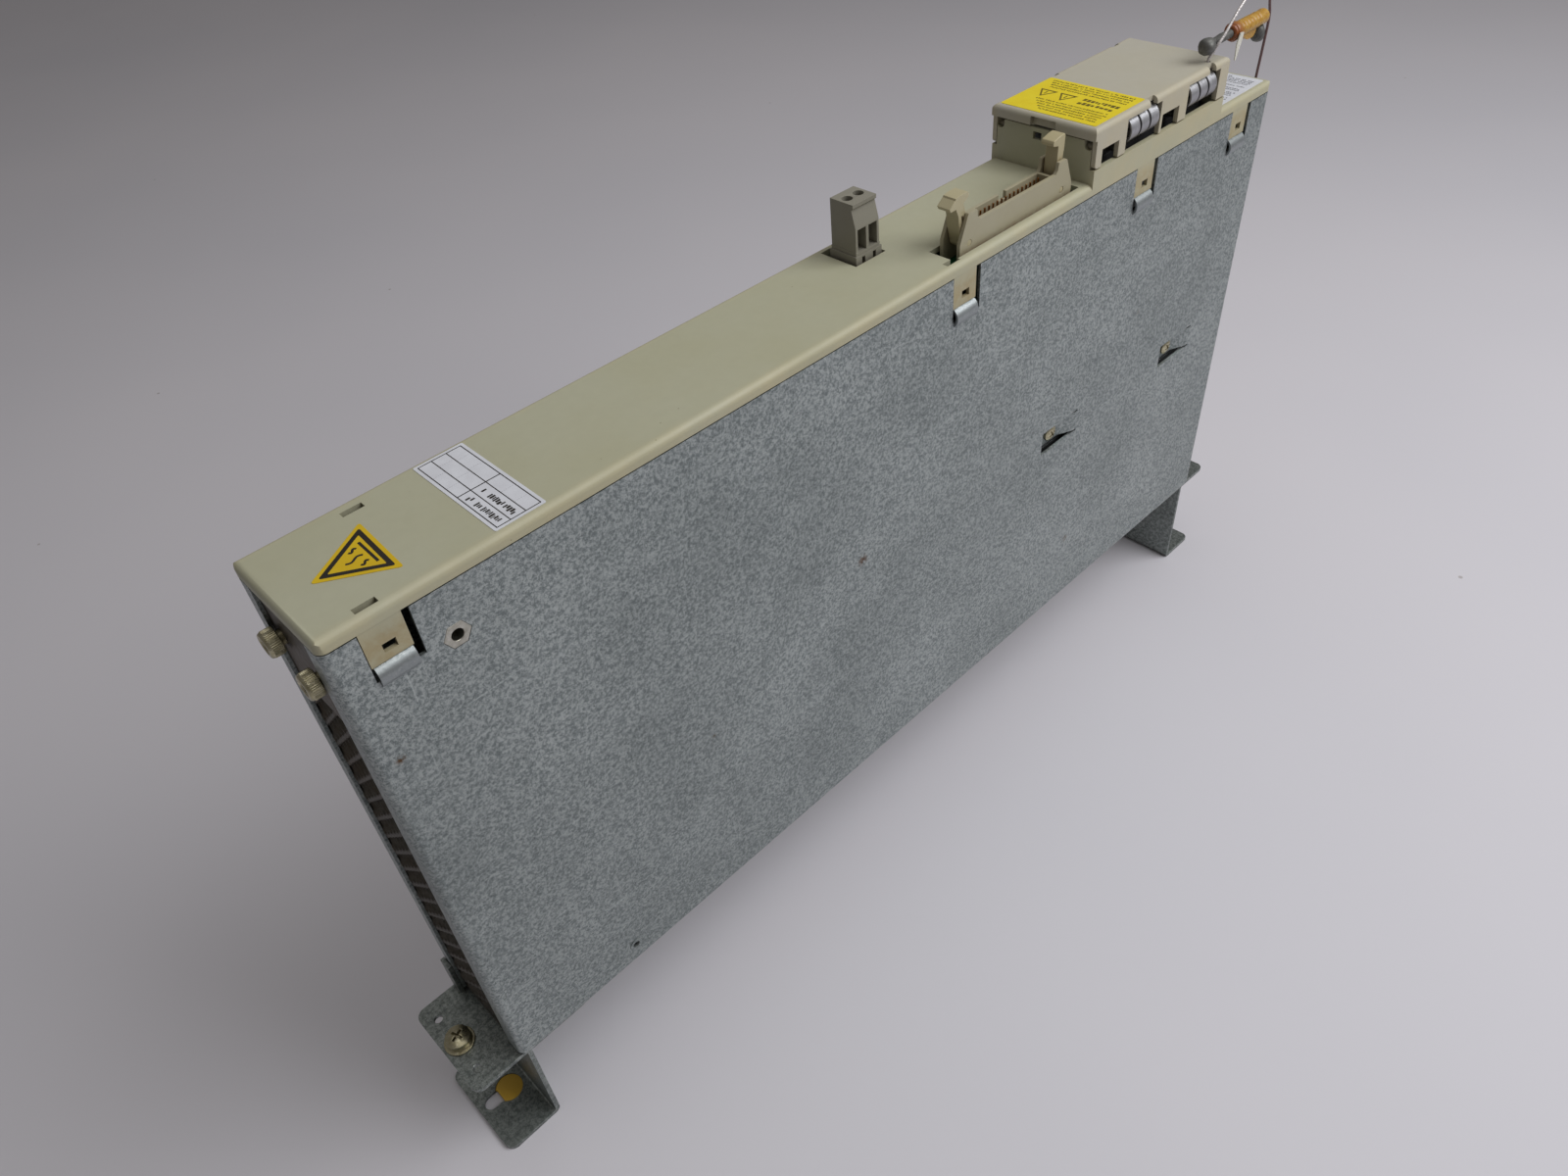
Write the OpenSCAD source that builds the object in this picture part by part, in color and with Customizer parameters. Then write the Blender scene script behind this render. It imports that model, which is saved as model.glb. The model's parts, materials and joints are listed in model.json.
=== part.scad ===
// Slim rack drive module: sheet-metal housing on two wall brackets, moulded front
// cover with a hinged bus-bar box, a latched ribbon header and a plug-in terminal.
// The module stands on its two bracket feet, front cover up. X runs along the
// housing, Y is its width, Z is up. The feet rest on Z = 0.

/* [Housing] */
// Length of the housing, along X
body_l = 480; // [476:1:484]
// Width of the housing, along Y
body_w = 50; // [49.6:0.2:50.4]
// Height of the housing's back above the feet
stand = 57; // [55:1:60]
// Height of the side panels, back to top edge
panel_h = 226.2; // [224:0.2:228]
// Sheet thickness of panels and end grilles
sheet = 1.2; // [1.0:0.1:1.4]
// Outer bend radius of the folded sheet
bend = 3; // [2.4:0.2:3.4]
// Width of the folded end and back flanges
flange = 8.5; // [7:0.5:8.5]

/* [Grille] */
// Pitch of the diamond openings in the end grilles
mesh_pitch = 10; // [9.5:0.5:11]
// Width of the strands between the diamonds
strand = 1.4; // [1.2:0.1:1.8]
// Height of the open mesh field
mesh_h = 180; // [160:10:180]

/* [Front cover] */
// Wall thickness of the moulded cover
cover_t = 2.2; // [2:0.1:2.4]
// Height of the cover's top face above the panels' top edge
cover_h = 4.8; // [4.6:0.1:5]
// Edge radius of the cover
cover_r = 2.4; // [1.8:0.2:2.6]

/* [Bus-bar box] */
// Height of the closed lid's top above the cover
box_h = 22.3; // [22:0.1:22.6]
// Lid wall thickness
lid_t = 2; // [1.8:0.1:2.2]
// Diameter of the lid's hinge pins
pin_d = 3; // [2.6:0.1:3.2]

/* [Ribbon header] */
// Number of contact columns
columns = 17; // [13:1:17]
// Lean of the latch at the terminal's side, from upright
latch_lean = 14; // [8:1:18]

/* [Brackets] */
// Plate thickness of the brackets
bracket_t = 2; // [1.8:0.1:2.2]
// Width of the brackets, along Y
bracket_w = 46; // [44:1:48]
// Reach of each bracket past the housing's end
reach = 20.5; // [20:0.5:21]
// Diameter of the keyhole's round hole
key_d = 12; // [11:0.5:13]
// Width of the keyhole's slot
slot_w = 6.4; // [6:0.2:6.8]

/* [Hidden] */

hl = body_l/2;              // half length
hw = body_w/2;              // half width
zt = stand + panel_h;       // top edge of the panels
zc = zt + cover_h;          // top face of the cover
zl = zc + box_h;            // top face of the lid
clip_x = [-222.5, 20, 138.5, 214];   // snap clips along each long edge
seam_z = zc + 5.7;          // top of the cover's ledge under the lid
e = 0.01;

// ---------- helpers ----------
module rr(x0, x1, y0, y1, r) {           // rectangle with round corners
  translate([x0 + r, y0]) square([x1 - x0 - 2*r, y1 - y0]);
  translate([x0, y0 + r]) square([x1 - x0, y1 - y0 - 2*r]);
  for (x = [x0 + r, x1 - r], y = [y0 + r, y1 - r]) translate([x, y]) circle(r, $fn = 32);
}
module rr_top(x0, x1, y0, y1, r) {       // rectangle whose two upper corners are round
  translate([x0, y0]) square([x1 - x0, y1 - y0 - r]);
  translate([x0 + r, y0]) square([x1 - x0 - 2*r, y1 - y0]);
  for (x = [x0 + r, x1 - r]) translate([x, y1 - r]) circle(r, $fn = 32);
}
module bx(x0, x1, y0, y1, z0, z1) { translate([x0, y0, z0]) cube([x1 - x0, y1 - y0, z1 - z0]); }
module along_x(x0, x1) { translate([x0, 0, 0]) rotate([90, 0, 90]) linear_extrude(x1 - x0) children(); } // profile (y, z)
module along_y(y0, y1) { translate([0, y1, 0]) rotate([90, 0, 0]) linear_extrude(y1 - y0) children(); }  // profile (x, z)
module cyl_y(x, z, y0, y1, r) { translate([x, y1, z]) rotate([90, 0, 0]) cylinder(h = y1 - y0, r = r, $fn = 48); }
module cyl_x(y, z, x0, x1, r) { translate([x0, y, z]) rotate([0, 90, 0]) cylinder(h = x1 - x0, r = r, $fn = 48); }
module cyl_z(x, y, z0, z1, r) { translate([x, y, z0]) cylinder(h = z1 - z0, r = r, $fn = 48); }

// plan of one folded side: a long wall with a flange bent round each end
module side_plan() {
  difference() {
    union() {
      translate([-hl + bend, -hw]) square([body_l - 2*bend, bend]);
      translate([-hl, -hw + bend]) square([sheet, flange - bend]);
      translate([hl - sheet, -hw + bend]) square([sheet, flange - bend]);
      for (s = [-1, 1]) translate([s*(hl - bend), -hw + bend]) intersection() {
        circle(bend, $fn = 48);
        translate([s > 0 ? 0 : -bend, -bend]) square([bend, bend]);
      }
    }
    translate([-hl + bend, -hw + sheet]) square([body_l - 2*bend, bend]);
    for (s = [-1, 1]) translate([s*(hl - bend), -hw + bend]) circle(bend - sheet, $fn = 48);
  }
}
// the snap clips' rolled hooks, standing a little proud of the side
module hooks() {
  for (x = clip_x) translate([x - 6, 0, 0]) along_x(0, 12) intersection() {
    translate([-hw + 2.4, zt - 16.3]) difference() { circle(4.2, $fn = 48); circle(3.2, $fn = 48); }
    translate([-hw - 3, zt - 21]) square([3.7, 9.4]);
  }
}
module clip_notches() {
  for (x = clip_x) bx(x - 6.8, x + 8.8, -hw - 1, -hw + 2, zt - 17.4, zt + 1);
}
module back_edge(y_end) {                 // back flange with its own bend
  along_x(-hl + bend + 0.5, hl - bend - 0.5) difference() {
    union() {
      translate([-hw + bend, stand]) square([y_end + hw - bend, sheet]);
      translate([-hw, stand + bend]) square([sheet, 2]);
      intersection() {
        translate([-hw + bend, stand + bend]) circle(bend, $fn = 48);
        translate([-hw, stand]) square([bend, bend]);
      }
    }
    translate([-hw + bend, stand + bend]) circle(bend - sheet, $fn = 48);
  }
}

// ---------- housing ----------
tongue_x = [[80.5, 107.5], [177.5, 205]];
tongue_z = [stand + 109.6, stand + 121.4];
module near_side_panel() color([0.45, 0.49, 0.51]) {
  difference() {
    union() {
      translate([0, 0, stand + bend]) linear_extrude(panel_h - bend) side_plan();
      back_edge(-hw + 12);
      cyl_y(-180.8, stand + 11.3, -hw - 0.3, -hw + 1, 2.9);
    }
    clip_notches();
    // window left by each pressed-in tongue
    for (t = tongue_x) bx(t[0], t[1], -hw - 1, -hw + 2, tongue_z[0], tongue_z[1]);
    // seat of the hexagonal press insert
    translate([-203.9, -hw + 3, stand + 208.2]) rotate([90, 0, 0]) cylinder(h = 6, r = 4.75, $fn = 6);
    cyl_y(-180.8, stand + 11.3, -hw - 2, -hw + 3, 1.6);
  }
  hooks();
  // tongues: flush at the +X end, sloping inwards to a flat seat for the screw
  for (t = tongue_x) difference() {
    along_z_tongue(t);
    cyl_y(t[0] + 10, (tongue_z[0] + tongue_z[1])/2 + 0.5, -hw - 1, -hw + 8, 2.2);
  }
}
module along_z_tongue(t) translate([0, 0, tongue_z[0] + 0.9]) linear_extrude(tongue_z[1] - tongue_z[0] - 1.8)
  polygon([[t[1] + 0.5, -hw], [t[1] - 2, -hw], [t[0] + 17, -hw + 3.4], [t[0] + 3, -hw + 3.4],
           [t[0] + 3, -hw + 4.6], [t[0] + 17.4, -hw + 4.6], [t[1] - 1.6, -hw + 1.2], [t[1] + 0.5, -hw + 1.2]]);

module chassis() color([0.47, 0.51, 0.53]) {
  difference() {
    union() {
      mirror([0, 1, 0]) translate([0, 0, stand + bend]) linear_extrude(panel_h - bend) side_plan();
      mirror([0, 1, 0]) back_edge(12.9);
    }
    mirror([0, 1, 0]) clip_notches();
    // rivet holes of both brackets and the board's standoff holes
    for (s = [-1, 1], y = [-9, 9]) cyl_z(s*218, y, stand - 1, stand + 3, 1.7);
    for (p = standoff_p) cyl_y(p[0], p[1], hw - 3, hw + 1, 1.6);
  }
  mirror([0, 1, 0]) hooks();
}

// end sheet: expanded mesh below, plain plate with two screw holes above
module end_sheet() {
  z0 = stand + sheet + 0.3; z1 = zt - 1;
  n = floor(mesh_h/mesh_pitch);
  d = mesh_pitch - strand*1.414;
  difference() {
    along_x(-hl + sheet + 0.1, -hl + 2*sheet + 0.1) difference() {
      translate([-hw + 3.3, z0]) square([body_w - 6.6, z1 - z0]);
      for (j = [0:n - 1], i = [-2:1:1])
        translate([(i + 0.5)*mesh_pitch, z0 + 7 + j*mesh_pitch]) rotate(45) square(d/1.414, center = true);
      for (j = [0:n - 2], i = [-1:1:1])
        translate([i*mesh_pitch, z0 + 12 + j*mesh_pitch]) rotate(45) square(d/1.414, center = true);
    }
    for (y = [-12, 12]) cyl_x(y, stand + 209.3, -hl - 1, -hl + 5, 2.6);
  }
}
module top_grille() color([0.30, 0.31, 0.31]) end_sheet();
module bottom_grille() color([0.30, 0.31, 0.31]) mirror([1, 0, 0]) end_sheet();

module cap_screw(y, z) {                 // socket cap screw, head outwards at -X
  difference() {
    union() {
      cyl_x(y, z, -hl - 4.4, -hl + sheet + 0.1, 4.4);
      cyl_x(y, z, -hl, -hl + 13, 2.45);
    }
    translate([-hl - 5, y, z]) rotate([0, 90, 0]) cylinder(h = 3.2, r = 2.3, $fn = 6);
  }
}
module end_screws() color([0.72, 0.70, 0.58])
  for (y = [-12, 12], s = [0, 1]) mirror([s, 0, 0]) cap_screw(y, stand + 209.3);

// ---------- front cover ----------
box_x0 = 98.8; box_x1 = 195.5;
hx = 102.2; hz = zc + 13.5;                // lid hinge axis
module cover_solid(o) intersection() {   // rounded block, shrunk by o
  along_x(-hl + o, hl - o) rr_top(-hw + o, hw - o, zt + 0.4 - (o > 0 ? 1 : 0), zc - o, max(cover_r - o, 0.3));
  along_y(-hw, hw) rr_top(-hl + o, hl - o, zt + 0.4 - (o > 0 ? 1 : 0), zc - o, max(cover_r - o, 0.3));
  translate([0, 0, zt - 2]) linear_extrude(cover_h + 4) rr(-hl + o, hl - o, -hw + o, hw - o, 3 - o*0.8);
}
module snap_tab(x) difference() {
  bx(x - 6.5, x + 6.5, -hw + 0.2, -hw + 1.7, zt - 12.4, zt + 1.5);
  bx(x - 1.6, x + 2.6, -hw - 1, -hw + 3, zt - 9.8, zt - 6.8);
}
module front_cover() color([0.66, 0.64, 0.56]) difference() {
  union() {
    difference() { cover_solid(0); cover_solid(cover_t); }
    for (x = clip_x) { snap_tab(x); mirror([0, 1, 0]) snap_tab(x); }
    // low walls that the lid closes on
    difference() {
      bx(box_x0, box_x1, -hw, hw, zc - cover_r, seam_z);
      bx(box_x0 + 2, box_x1 - 2, -hw + cover_t, hw - cover_t, zc - 4, seam_z + 1);
    }
    // end wall of the box, with its two U notches and a square window
    bx(box_x0, box_x0 + 1.6, -hw + 2.3, hw - 2.3, zc - 1, zc + 16.7);
    // cheeks that carry the lid's pins
    for (s = [-1, 1]) bx(box_x0 + 1, box_x0 + 7, s*18 - 1, s*18 + 1, zc - 1, zc + 16.6);
  }
  for (s = [-1, 1]) {
    cyl_x(s*21.2, zc + 15, box_x0 - 1, box_x0 + 3, 1.9);
    bx(box_x0 - 1, box_x0 + 3, s*21.2 - 1.9, s*21.2 + 1.9, zc + 15, zc + 18);
    cyl_y(hx, hz, s*18 - 3, s*18 + 3, pin_d/2 + 0.05);
  }
  bx(box_x0 - 1, box_x0 + 3, 1, 5, zc + 12, zc + 15);
  // cut-outs for the terminal plug, the ribbon header and the bus bars' feet
  bx(-7.9, 8.2, 3.6, 21.6, zc - 5, zc + 1);
  bx(17, 94.6, -21.4, -9.8, zc - 5, zc + 1);
  for (x = [132, 176]) bx(x - 8, x + 8, -4, 4, zc - 5, zc + 1);
  // small slots left by the mould beside the snap tabs
  for (x = [-223, 16]) bx(x - 3.5, x + 3.5, -hw + 2.5, -hw + 5, zc - 4, zc + 1);
  bx(-208.5, -201.5, 17.6, 20.1, zc - 4, zc + 1);
}

// ---------- bus-bar box ----------
module lid_solid(o) intersection() {
  along_x(box_x0 - 1.2 + o, box_x1 - o) rr_top(-hw + o, hw - o, seam_z + 0.6 - o, zl - o, max(2.2 - o, 0.3));
  along_y(-hw, hw) rr_top(box_x0 - 1.2 + o, box_x1 - o, seam_z + 0.6 - o, zl - o, max(2.2 - o, 0.3));
}
module busbar_lid() color([0.67, 0.65, 0.57]) {
  difference() {
    lid_solid(0);
    lid_solid(lid_t);
    // open end above the cover's own end wall
    bx(box_x0 - 3, box_x0, -hw - 1, hw + 1, zc, zc + 17.6);
    bx(box_x0 - 3, box_x0 + 6, -hw + lid_t, hw - lid_t, zc, zc + 17.6);
    // rounded lower corner that swings past the ledge
    for (s = [-1, 1]) translate([box_x0, s*(hw - 1), seam_z + 0.6]) rotate([90, 0, 0]) linear_extrude(4, center = true)
      difference() { translate([-1, -1]) square([2.8, 2.8]); translate([1.8, 1.8]) circle(1.8, $fn = 32); }
    // side notches: two for the link springs, two plain
    for (s = [-1, 1]) {
      for (w = [[119.5, 143.8], [164, 188.5]]) bx(w[0], w[1], s*(hw - 1) - 1.5, s*(hw - 1) + 1.5, seam_z, zl - 2.9);
      bx(103, 114.5, s*(hw - 1) - 1.5, s*(hw - 1) + 1.5, seam_z, seam_z + 7.4);
      bx(145.5, 158, s*(hw - 1) - 1.5, s*(hw - 1) + 1.5, seam_z, seam_z + 7.6);
      // finger notches on the top edge
      for (x = [135, 179.5]) bx(x, x + 5, s*(hw - 1) - 1.5, s*(hw - 1) + 1.5, zl - 3.4, zl + 1);
    }
    bx(box_x0 - 3, box_x0 + 0.6, -6, 6, zl - 5, zl - 1.2);
    // eye for the seal wire, at the far corner
    cyl_z(184.8, -hw + 4.6, zl - 4, zl + 1, 1.1);
  }
  for (s = [-1, 1]) cyl_y(hx, hz, s > 0 ? 16.9 : -hw + 1, s > 0 ? hw - 1 : -16.9, pin_d/2);
}
module busbar(x) {                        // flat bar across the module on one foot
  bx(x - 10, x + 10, -19, 19, zc + 5, zc + 8);
  bx(x - 6, x + 6, -1.5, 1.5, 233, zc + 5.5);
  bx(x - 6, x + 6, -1.5, 12.4, 233, 236);
}
module busbar_plus() color([0.74, 0.74, 0.75]) busbar(132);
module busbar_minus() color([0.74, 0.74, 0.75]) busbar(176);
module link_spring(x) {                   // three rolled fingers on one strip
  bx(x - 10, x + 10, -17, -9, zc + 8, zc + 8.8);
  for (k = [-1, 0, 1]) translate([x + k*6.8 - 3.05, 0, 0]) along_x(0, 6.1) {
    difference() {
      translate([-19.9, zc + 13.7]) circle(5.7, $fn = 64);
      translate([-19.9, zc + 13.7]) circle(4.9, $fn = 64);
      translate([-19.9, zc]) square([12, 30]);
    }
    translate([-19.9, zc + 8]) square([6.4, 0.8]);
    translate([-19.9, zc + 18.6]) square([4.4, 0.8]);
  }
}
module link_spring_plus() color([0.80, 0.80, 0.82]) link_spring(132);
module link_spring_minus() color([0.80, 0.80, 0.82]) link_spring(176);
module bus_insulator() color([0.16, 0.16, 0.17]) difference() {
  bx(114, 190, -18, 18, zc + 0.1, zc + 4.9);
  for (x = [132, 176]) bx(x - 6.2, x + 6.2, -1.7, 1.7, zc - 1, zc + 6);
}

// ---------- ribbon header ----------
hd_x0 = 22; hd_x1 = 90.6; hd_y0 = -20.3; hd_y1 = -10.9; hd_z = zt - 0.8; pv_z = zc + 2.5;
pv_l = 27.5; pv_r = 84.1;
module header_wall(y0, y1, h) along_y(y0, y1)   // side wall with raised, slanted ears; h is its middle height
  polygon([[hd_x0, hd_z], [hd_x0, zc + 3.4], [hd_x0 + 4.2, zc + 13.6], [hd_x0 + 4.7, zc + 14], [hd_x0 + 9.2, zc + 14],
    [hd_x0 + 9.6, zc + 13.4], [hd_x0 + 9.9, zc + h + 1.4], [hd_x0 + 11.2, zc + h],
    [hd_x1 - 11.2, zc + h], [hd_x1 - 9.9, zc + h + 1.4], [hd_x1 - 9.6, zc + 13.4],
    [hd_x1 - 9.2, zc + 14], [hd_x1 - 4.7, zc + 14], [hd_x1 - 4.2, zc + 13.6], [hd_x1, zc + 3.4], [hd_x1, hd_z]]);
module header_body() color([0.72, 0.70, 0.60]) difference() {
  union() {
    header_wall(hd_y0, hd_y0 + 1.5, 9.8);
    header_wall(hd_y1 - 1.5, hd_y1, 8.9);
    bx(32.4, 80.2, hd_y0 + 0.5, hd_y1 - 0.5, hd_z, zc + 4.3);
    bx(32.4, 34, hd_y0 + 0.5, hd_y1 - 0.5, hd_z, zc + 8.9);
    bx(78.6, 80.2, hd_y0 + 0.5, hd_y1 - 0.5, hd_z, zc + 8.9);
  }
  bx(54.4, 59, hd_y1 - 1.6, hd_y1 + 1, zc + 6.2, zc + 16);       // polarising gap
  for (x = [pv_l, pv_r]) cyl_y(x, pv_z, hd_y0 - 1, hd_y1 + 1, 1.25);
}
module header_pins() color([0.62, 0.44, 0.26])
  for (i = [0:columns - 1], y = [-1.27, 1.27])
    translate([56.3 + (i - (columns - 1)/2)*2.54 - 0.32, (hd_y0 + hd_y1)/2 + y - 0.32, hd_z - 3.4]) cube([0.64, 0.64, 17.4]);
module latch(a, h, tab) rotate([0, a, 0]) { // upright latch about its own pivot; +X is the plug's side
  along_y(-2.9, 2.9) difference() {
    union() {
      circle(2.3, $fn = 48);
      polygon([[-2.1, 0], [2.1, 0], [2.2, 8], [1.8, h - 4], [4.9, h - 3.3], [5.3, h - 2.3], [4.8, h - 1.2],
               [1.2, h - 0.3], [-1.7, h], [-2.4, h - 0.8], [-2.3, h - 5], [-1.8, 12], [-2.4, 6]]);
      if (tab > 0) polygon([[-1.9, h - 4.2], [-1.9 - tab, h - 3.4], [-2.3 - tab, h - 1.9], [-2.3, h - 0.4]]);
    }
    polygon([[-0.5, 4.2], [0.7, 4.2], [0.5, 11], [-0.3, 11]]);
  }
  cyl_y(0, 0, -4.6, 4.6, 1.2);
}
module latch_left() color([0.74, 0.70, 0.58]) translate([pv_l, (hd_y0 + hd_y1)/2, pv_z]) latch(-latch_lean, 19.4, 3.4);
module latch_right() color([0.74, 0.70, 0.58]) translate([pv_r, (hd_y0 + hd_y1)/2, pv_z]) mirror([1, 0, 0]) latch(0, 21, 0);
module front_board() color([0.10, 0.30, 0.20]) bx(-22, 96, -21.6, 21.6, hd_z - 1.6, hd_z);
module front_board_posts() color([0.75, 0.72, 0.55]) // posts that hold the front board off the chassis wall
  for (x = [-18, 92]) { bx(x - 3, x + 3, 18.4, 23.7, 256, 260); bx(x - 3, x + 3, 18.4, 20.4, 256, hd_z - 1.7); }

// ---------- terminal ----------
tx = 0.3; ty = 11.2;                     // centre of the plug
module terminal_socket() color([0.55, 0.53, 0.47]) difference() {
  bx(tx - 7.3, tx + 7.3, 4.2, 18.4, hd_z, zc - 1.4);
  bx(tx - 6.5, tx + 6.5, 4.9, 17.6, hd_z + 1.2, zc);
}
module terminal_pins() color([0.78, 0.77, 0.72])
  for (s = [-1, 1]) bx(tx + s*2.9 - 0.5, tx + s*2.9 + 0.5, 13.9, 14.9, hd_z - 3, zc + 1.4);
module terminal_plug() color([0.52, 0.51, 0.46]) difference() {
  union() {
    along_x(tx - 6.2, tx + 6.2) polygon([[5.2, hd_z + 1.4], [17.4, hd_z + 1.4], [17.4, zc + 21.8],
      [6.2, zc + 21.8], [6.2, zc + 20.4], [7.0, zc + 19.6], [5.2, zc + 13.2]]);
    bx(tx - 6.35, tx + 6.35, 5.05, 17.5, hd_z + 1.4, zc + 4);
    bx(tx - 6.9, tx + 6.9, 4.6, 17.9, zc - 1.2, zc + 2.6);
  }
  for (s = [-1, 1]) translate([tx + s*2.9, 0, 0]) {
    cyl_z(0, ty + 0.8, zc + 14, zc + 23, 2.1);              // screwdriver shaft
    bx(-2.2, 2.2, 4, 9.6, zc + 3.8, zc + 12.4);             // wire funnel
    bx(-2.4, 2.4, 9.5, 15.8, zc + 4.2, zc + 14.1);          // clamp chamber
    bx(-0.8, 0.8, 4, 6.4, zc - 2, zc + 1.8);                // release slot
    bx(-0.8, 0.8, 13.6, 15.2, hd_z, zc + 4.3);              // pin socket
  }
}
module t_screw(s) translate([tx + s*2.9, ty + 0.8, 0]) difference() {
  union() {
    cyl_z(0, 0, zc + 14.3, zc + 16.4, 1.95);
    cyl_z(0, 0, zc + 8.2, zc + 14.4, 1.2);
  }
  bx(-0.35, 0.35, -3, 3, zc + 15.3, zc + 18);
}
module cage(s) translate([tx + s*2.9, 0, 0]) difference() {
  bx(-2.2, 2.2, 9.9, 13.2, zc + 4.6, zc + 12.2);
  bx(-1.6, 1.6, 9, 14, zc + 5.6, zc + 10.2);
  cyl_z(0, ty + 0.8, zc + 4, zc + 14, 1.3);
}
module terminal_screw_1() color([0.75, 0.73, 0.66]) t_screw(-1);
module terminal_screw_2() color([0.75, 0.73, 0.66]) t_screw(1);
module clamp_cage_1() color([0.70, 0.69, 0.62]) cage(-1);
module clamp_cage_2() color([0.70, 0.69, 0.62]) cage(1);

// ---------- brackets ----------
bx_out = hl + reach; bx_web = hl - 5; zu = stand;
module bracket_leg(keyhole) {            // at the -X end: foot and web, one folded strip
  difference() {
    union() {
      linear_extrude(bracket_t) intersection() {
        rr(-bx_out, -bx_web + 8, -bracket_w/2, bracket_w/2, 4);
        translate([-bx_out - 1, -40]) square([bx_out - bx_web + 1 - 3, 80]);
      }
      along_y(-bracket_w/2, bracket_w/2) {
        translate([-bx_web - bracket_t, 3]) square([bracket_t, zu - 3 - bracket_t]);
        intersection() {
          translate([-bx_web - 3, 3]) difference() { circle(3, $fn = 48); circle(3 - bracket_t, $fn = 48); }
          translate([-bx_web - 3, 0]) square([3, 3]);
        }
        translate([-bx_web - 4, 0]) square([1, bracket_t]);
      }
    }
    if (keyhole) {
      cyl_z(-245.7, 0, -1, 3, key_d/2);
      cyl_z(-254.6, 0, -1, 3, slot_w/2);
      bx(-254.6, -245.7, -slot_w/2, slot_w/2, -1, 3);
    } else cyl_z(-251, 0, -1, 3, 3.5);
  }
}
module bracket_tab(ear_y) {               // flat tab riveted under the housing's back
  difference() {
    translate([0, 0, zu - bracket_t]) linear_extrude(bracket_t) rr(-bx_out, -206, -bracket_w/2, bracket_w/2, 4);
    for (y = [-14.5, 14.5]) cyl_z(-254.5, y, zu - 4, zu + 1, 1.75);
    cyl_z(-253.4, 0, zu - 4, zu + 1, 2.6);
    for (y = [-9, 9]) cyl_z(-218, y, zu - 4, zu + 1, 1.7);
  }
  // ear folded up against the edge of the housing's end
  bx(-hl - 2, -hl - 0.1, ear_y, ear_y + 6, zu - bracket_t, zu + 20);
}
module top_bracket() color([0.55, 0.58, 0.58]) bracket_leg(true);
module bottom_bracket() color([0.55, 0.58, 0.58]) mirror([1, 0, 0]) bracket_leg(false);
module top_tab() color([0.55, 0.58, 0.58]) bracket_tab(17);
module bottom_tab() color([0.55, 0.58, 0.58]) mirror([1, 0, 0]) bracket_tab(-23);
module bracket_rivets() color([0.70, 0.71, 0.72])
  for (s = [-1, 1], y = [-9, 9]) {
    cyl_z(s*218, y, zu - 2*bracket_t, zu - bracket_t, 3.2);
    cyl_z(s*218, y, zu - 2*bracket_t, zu + sheet + 1, 1.65);
    cyl_z(s*218, y, zu + sheet, zu + sheet + 1.2, 2.6);
  }
module earth_screws() color([0.74, 0.71, 0.56]) for (s = [-1, 1]) translate([s*253.4, 0, zu]) difference() {
  union() {
    intersection() {                     // domed pan head
      cylinder(h = 8, r = 5, $fn = 48);
      translate([0, 0, -5.6]) sphere(r = 10.8, $fn = 64);
      translate([-6, -6, 1.6]) cube([12, 12, 10]);
    }
    translate([0, 0, -7]) cylinder(h = 9, r = 2.5, $fn = 48);
  }
  for (a = [0, 90]) rotate(a + 20) translate([-2.6, -0.5, 3.2]) cube([5.2, 1, 4]);
}
module earth_washers() color([0.70, 0.69, 0.60]) for (s = [-1, 1]) translate([s*253.4, 0, zu]) difference() {
  union() { cylinder(h = 0.8, r = 6.2, $fn = 48); translate([0, 0, 0.8]) cylinder(h = 0.8, r = 5.1, $fn = 48); }
  translate([0, 0, -1]) cylinder(h = 4, r = 2.6, $fn = 48);
}
module keyhole_plug() color([0.72, 0.55, 0.12]) difference() {
  cyl_z(-245.7, 0, 0.2, 1.7, key_d/2 - 0.05);
  cyl_z(-254.6, 0, -1, 3, slot_w/2 + 0.2);
  bx(-254.6, -245.7 - 4.6, -slot_w/2, slot_w/2, -1, 3);
}

// ---------- side fasteners ----------
module panel_insert() color([0.62, 0.64, 0.65]) translate([-203.9, -hw + 5, stand + 208.2]) rotate([90, 0, 0]) difference() {
  union() { translate([0, 0, 3.9]) cylinder(h = 1.1, r = 4.7, $fn = 6); cylinder(h = 4, r = 3.4, $fn = 48); }
  translate([0, 0, -1]) cylinder(h = 8, r = 2, $fn = 48);
}
module side_screws() color([0.72, 0.70, 0.60]) for (t = tongue_x)
  translate([t[0] + 10, -hw + 3.4, (tongue_z[0] + tongue_z[1])/2 + 0.5]) rotate([90, 0, 0]) difference() {
    union() {
      intersection() { cylinder(h = 4, r = 3.8, $fn = 48); translate([0, 0, -4.6]) sphere(r = 6.8, $fn = 64); cylinder(h = 3, r = 4, $fn = 48); }
      translate([0, 0, -9]) cylinder(h = 9.5, r = 2.1, $fn = 48);
    }
    for (a = [0, 90]) rotate(a + 30) translate([-2, -0.4, 1.2]) cube([4, 0.8, 3]);
  }

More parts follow.
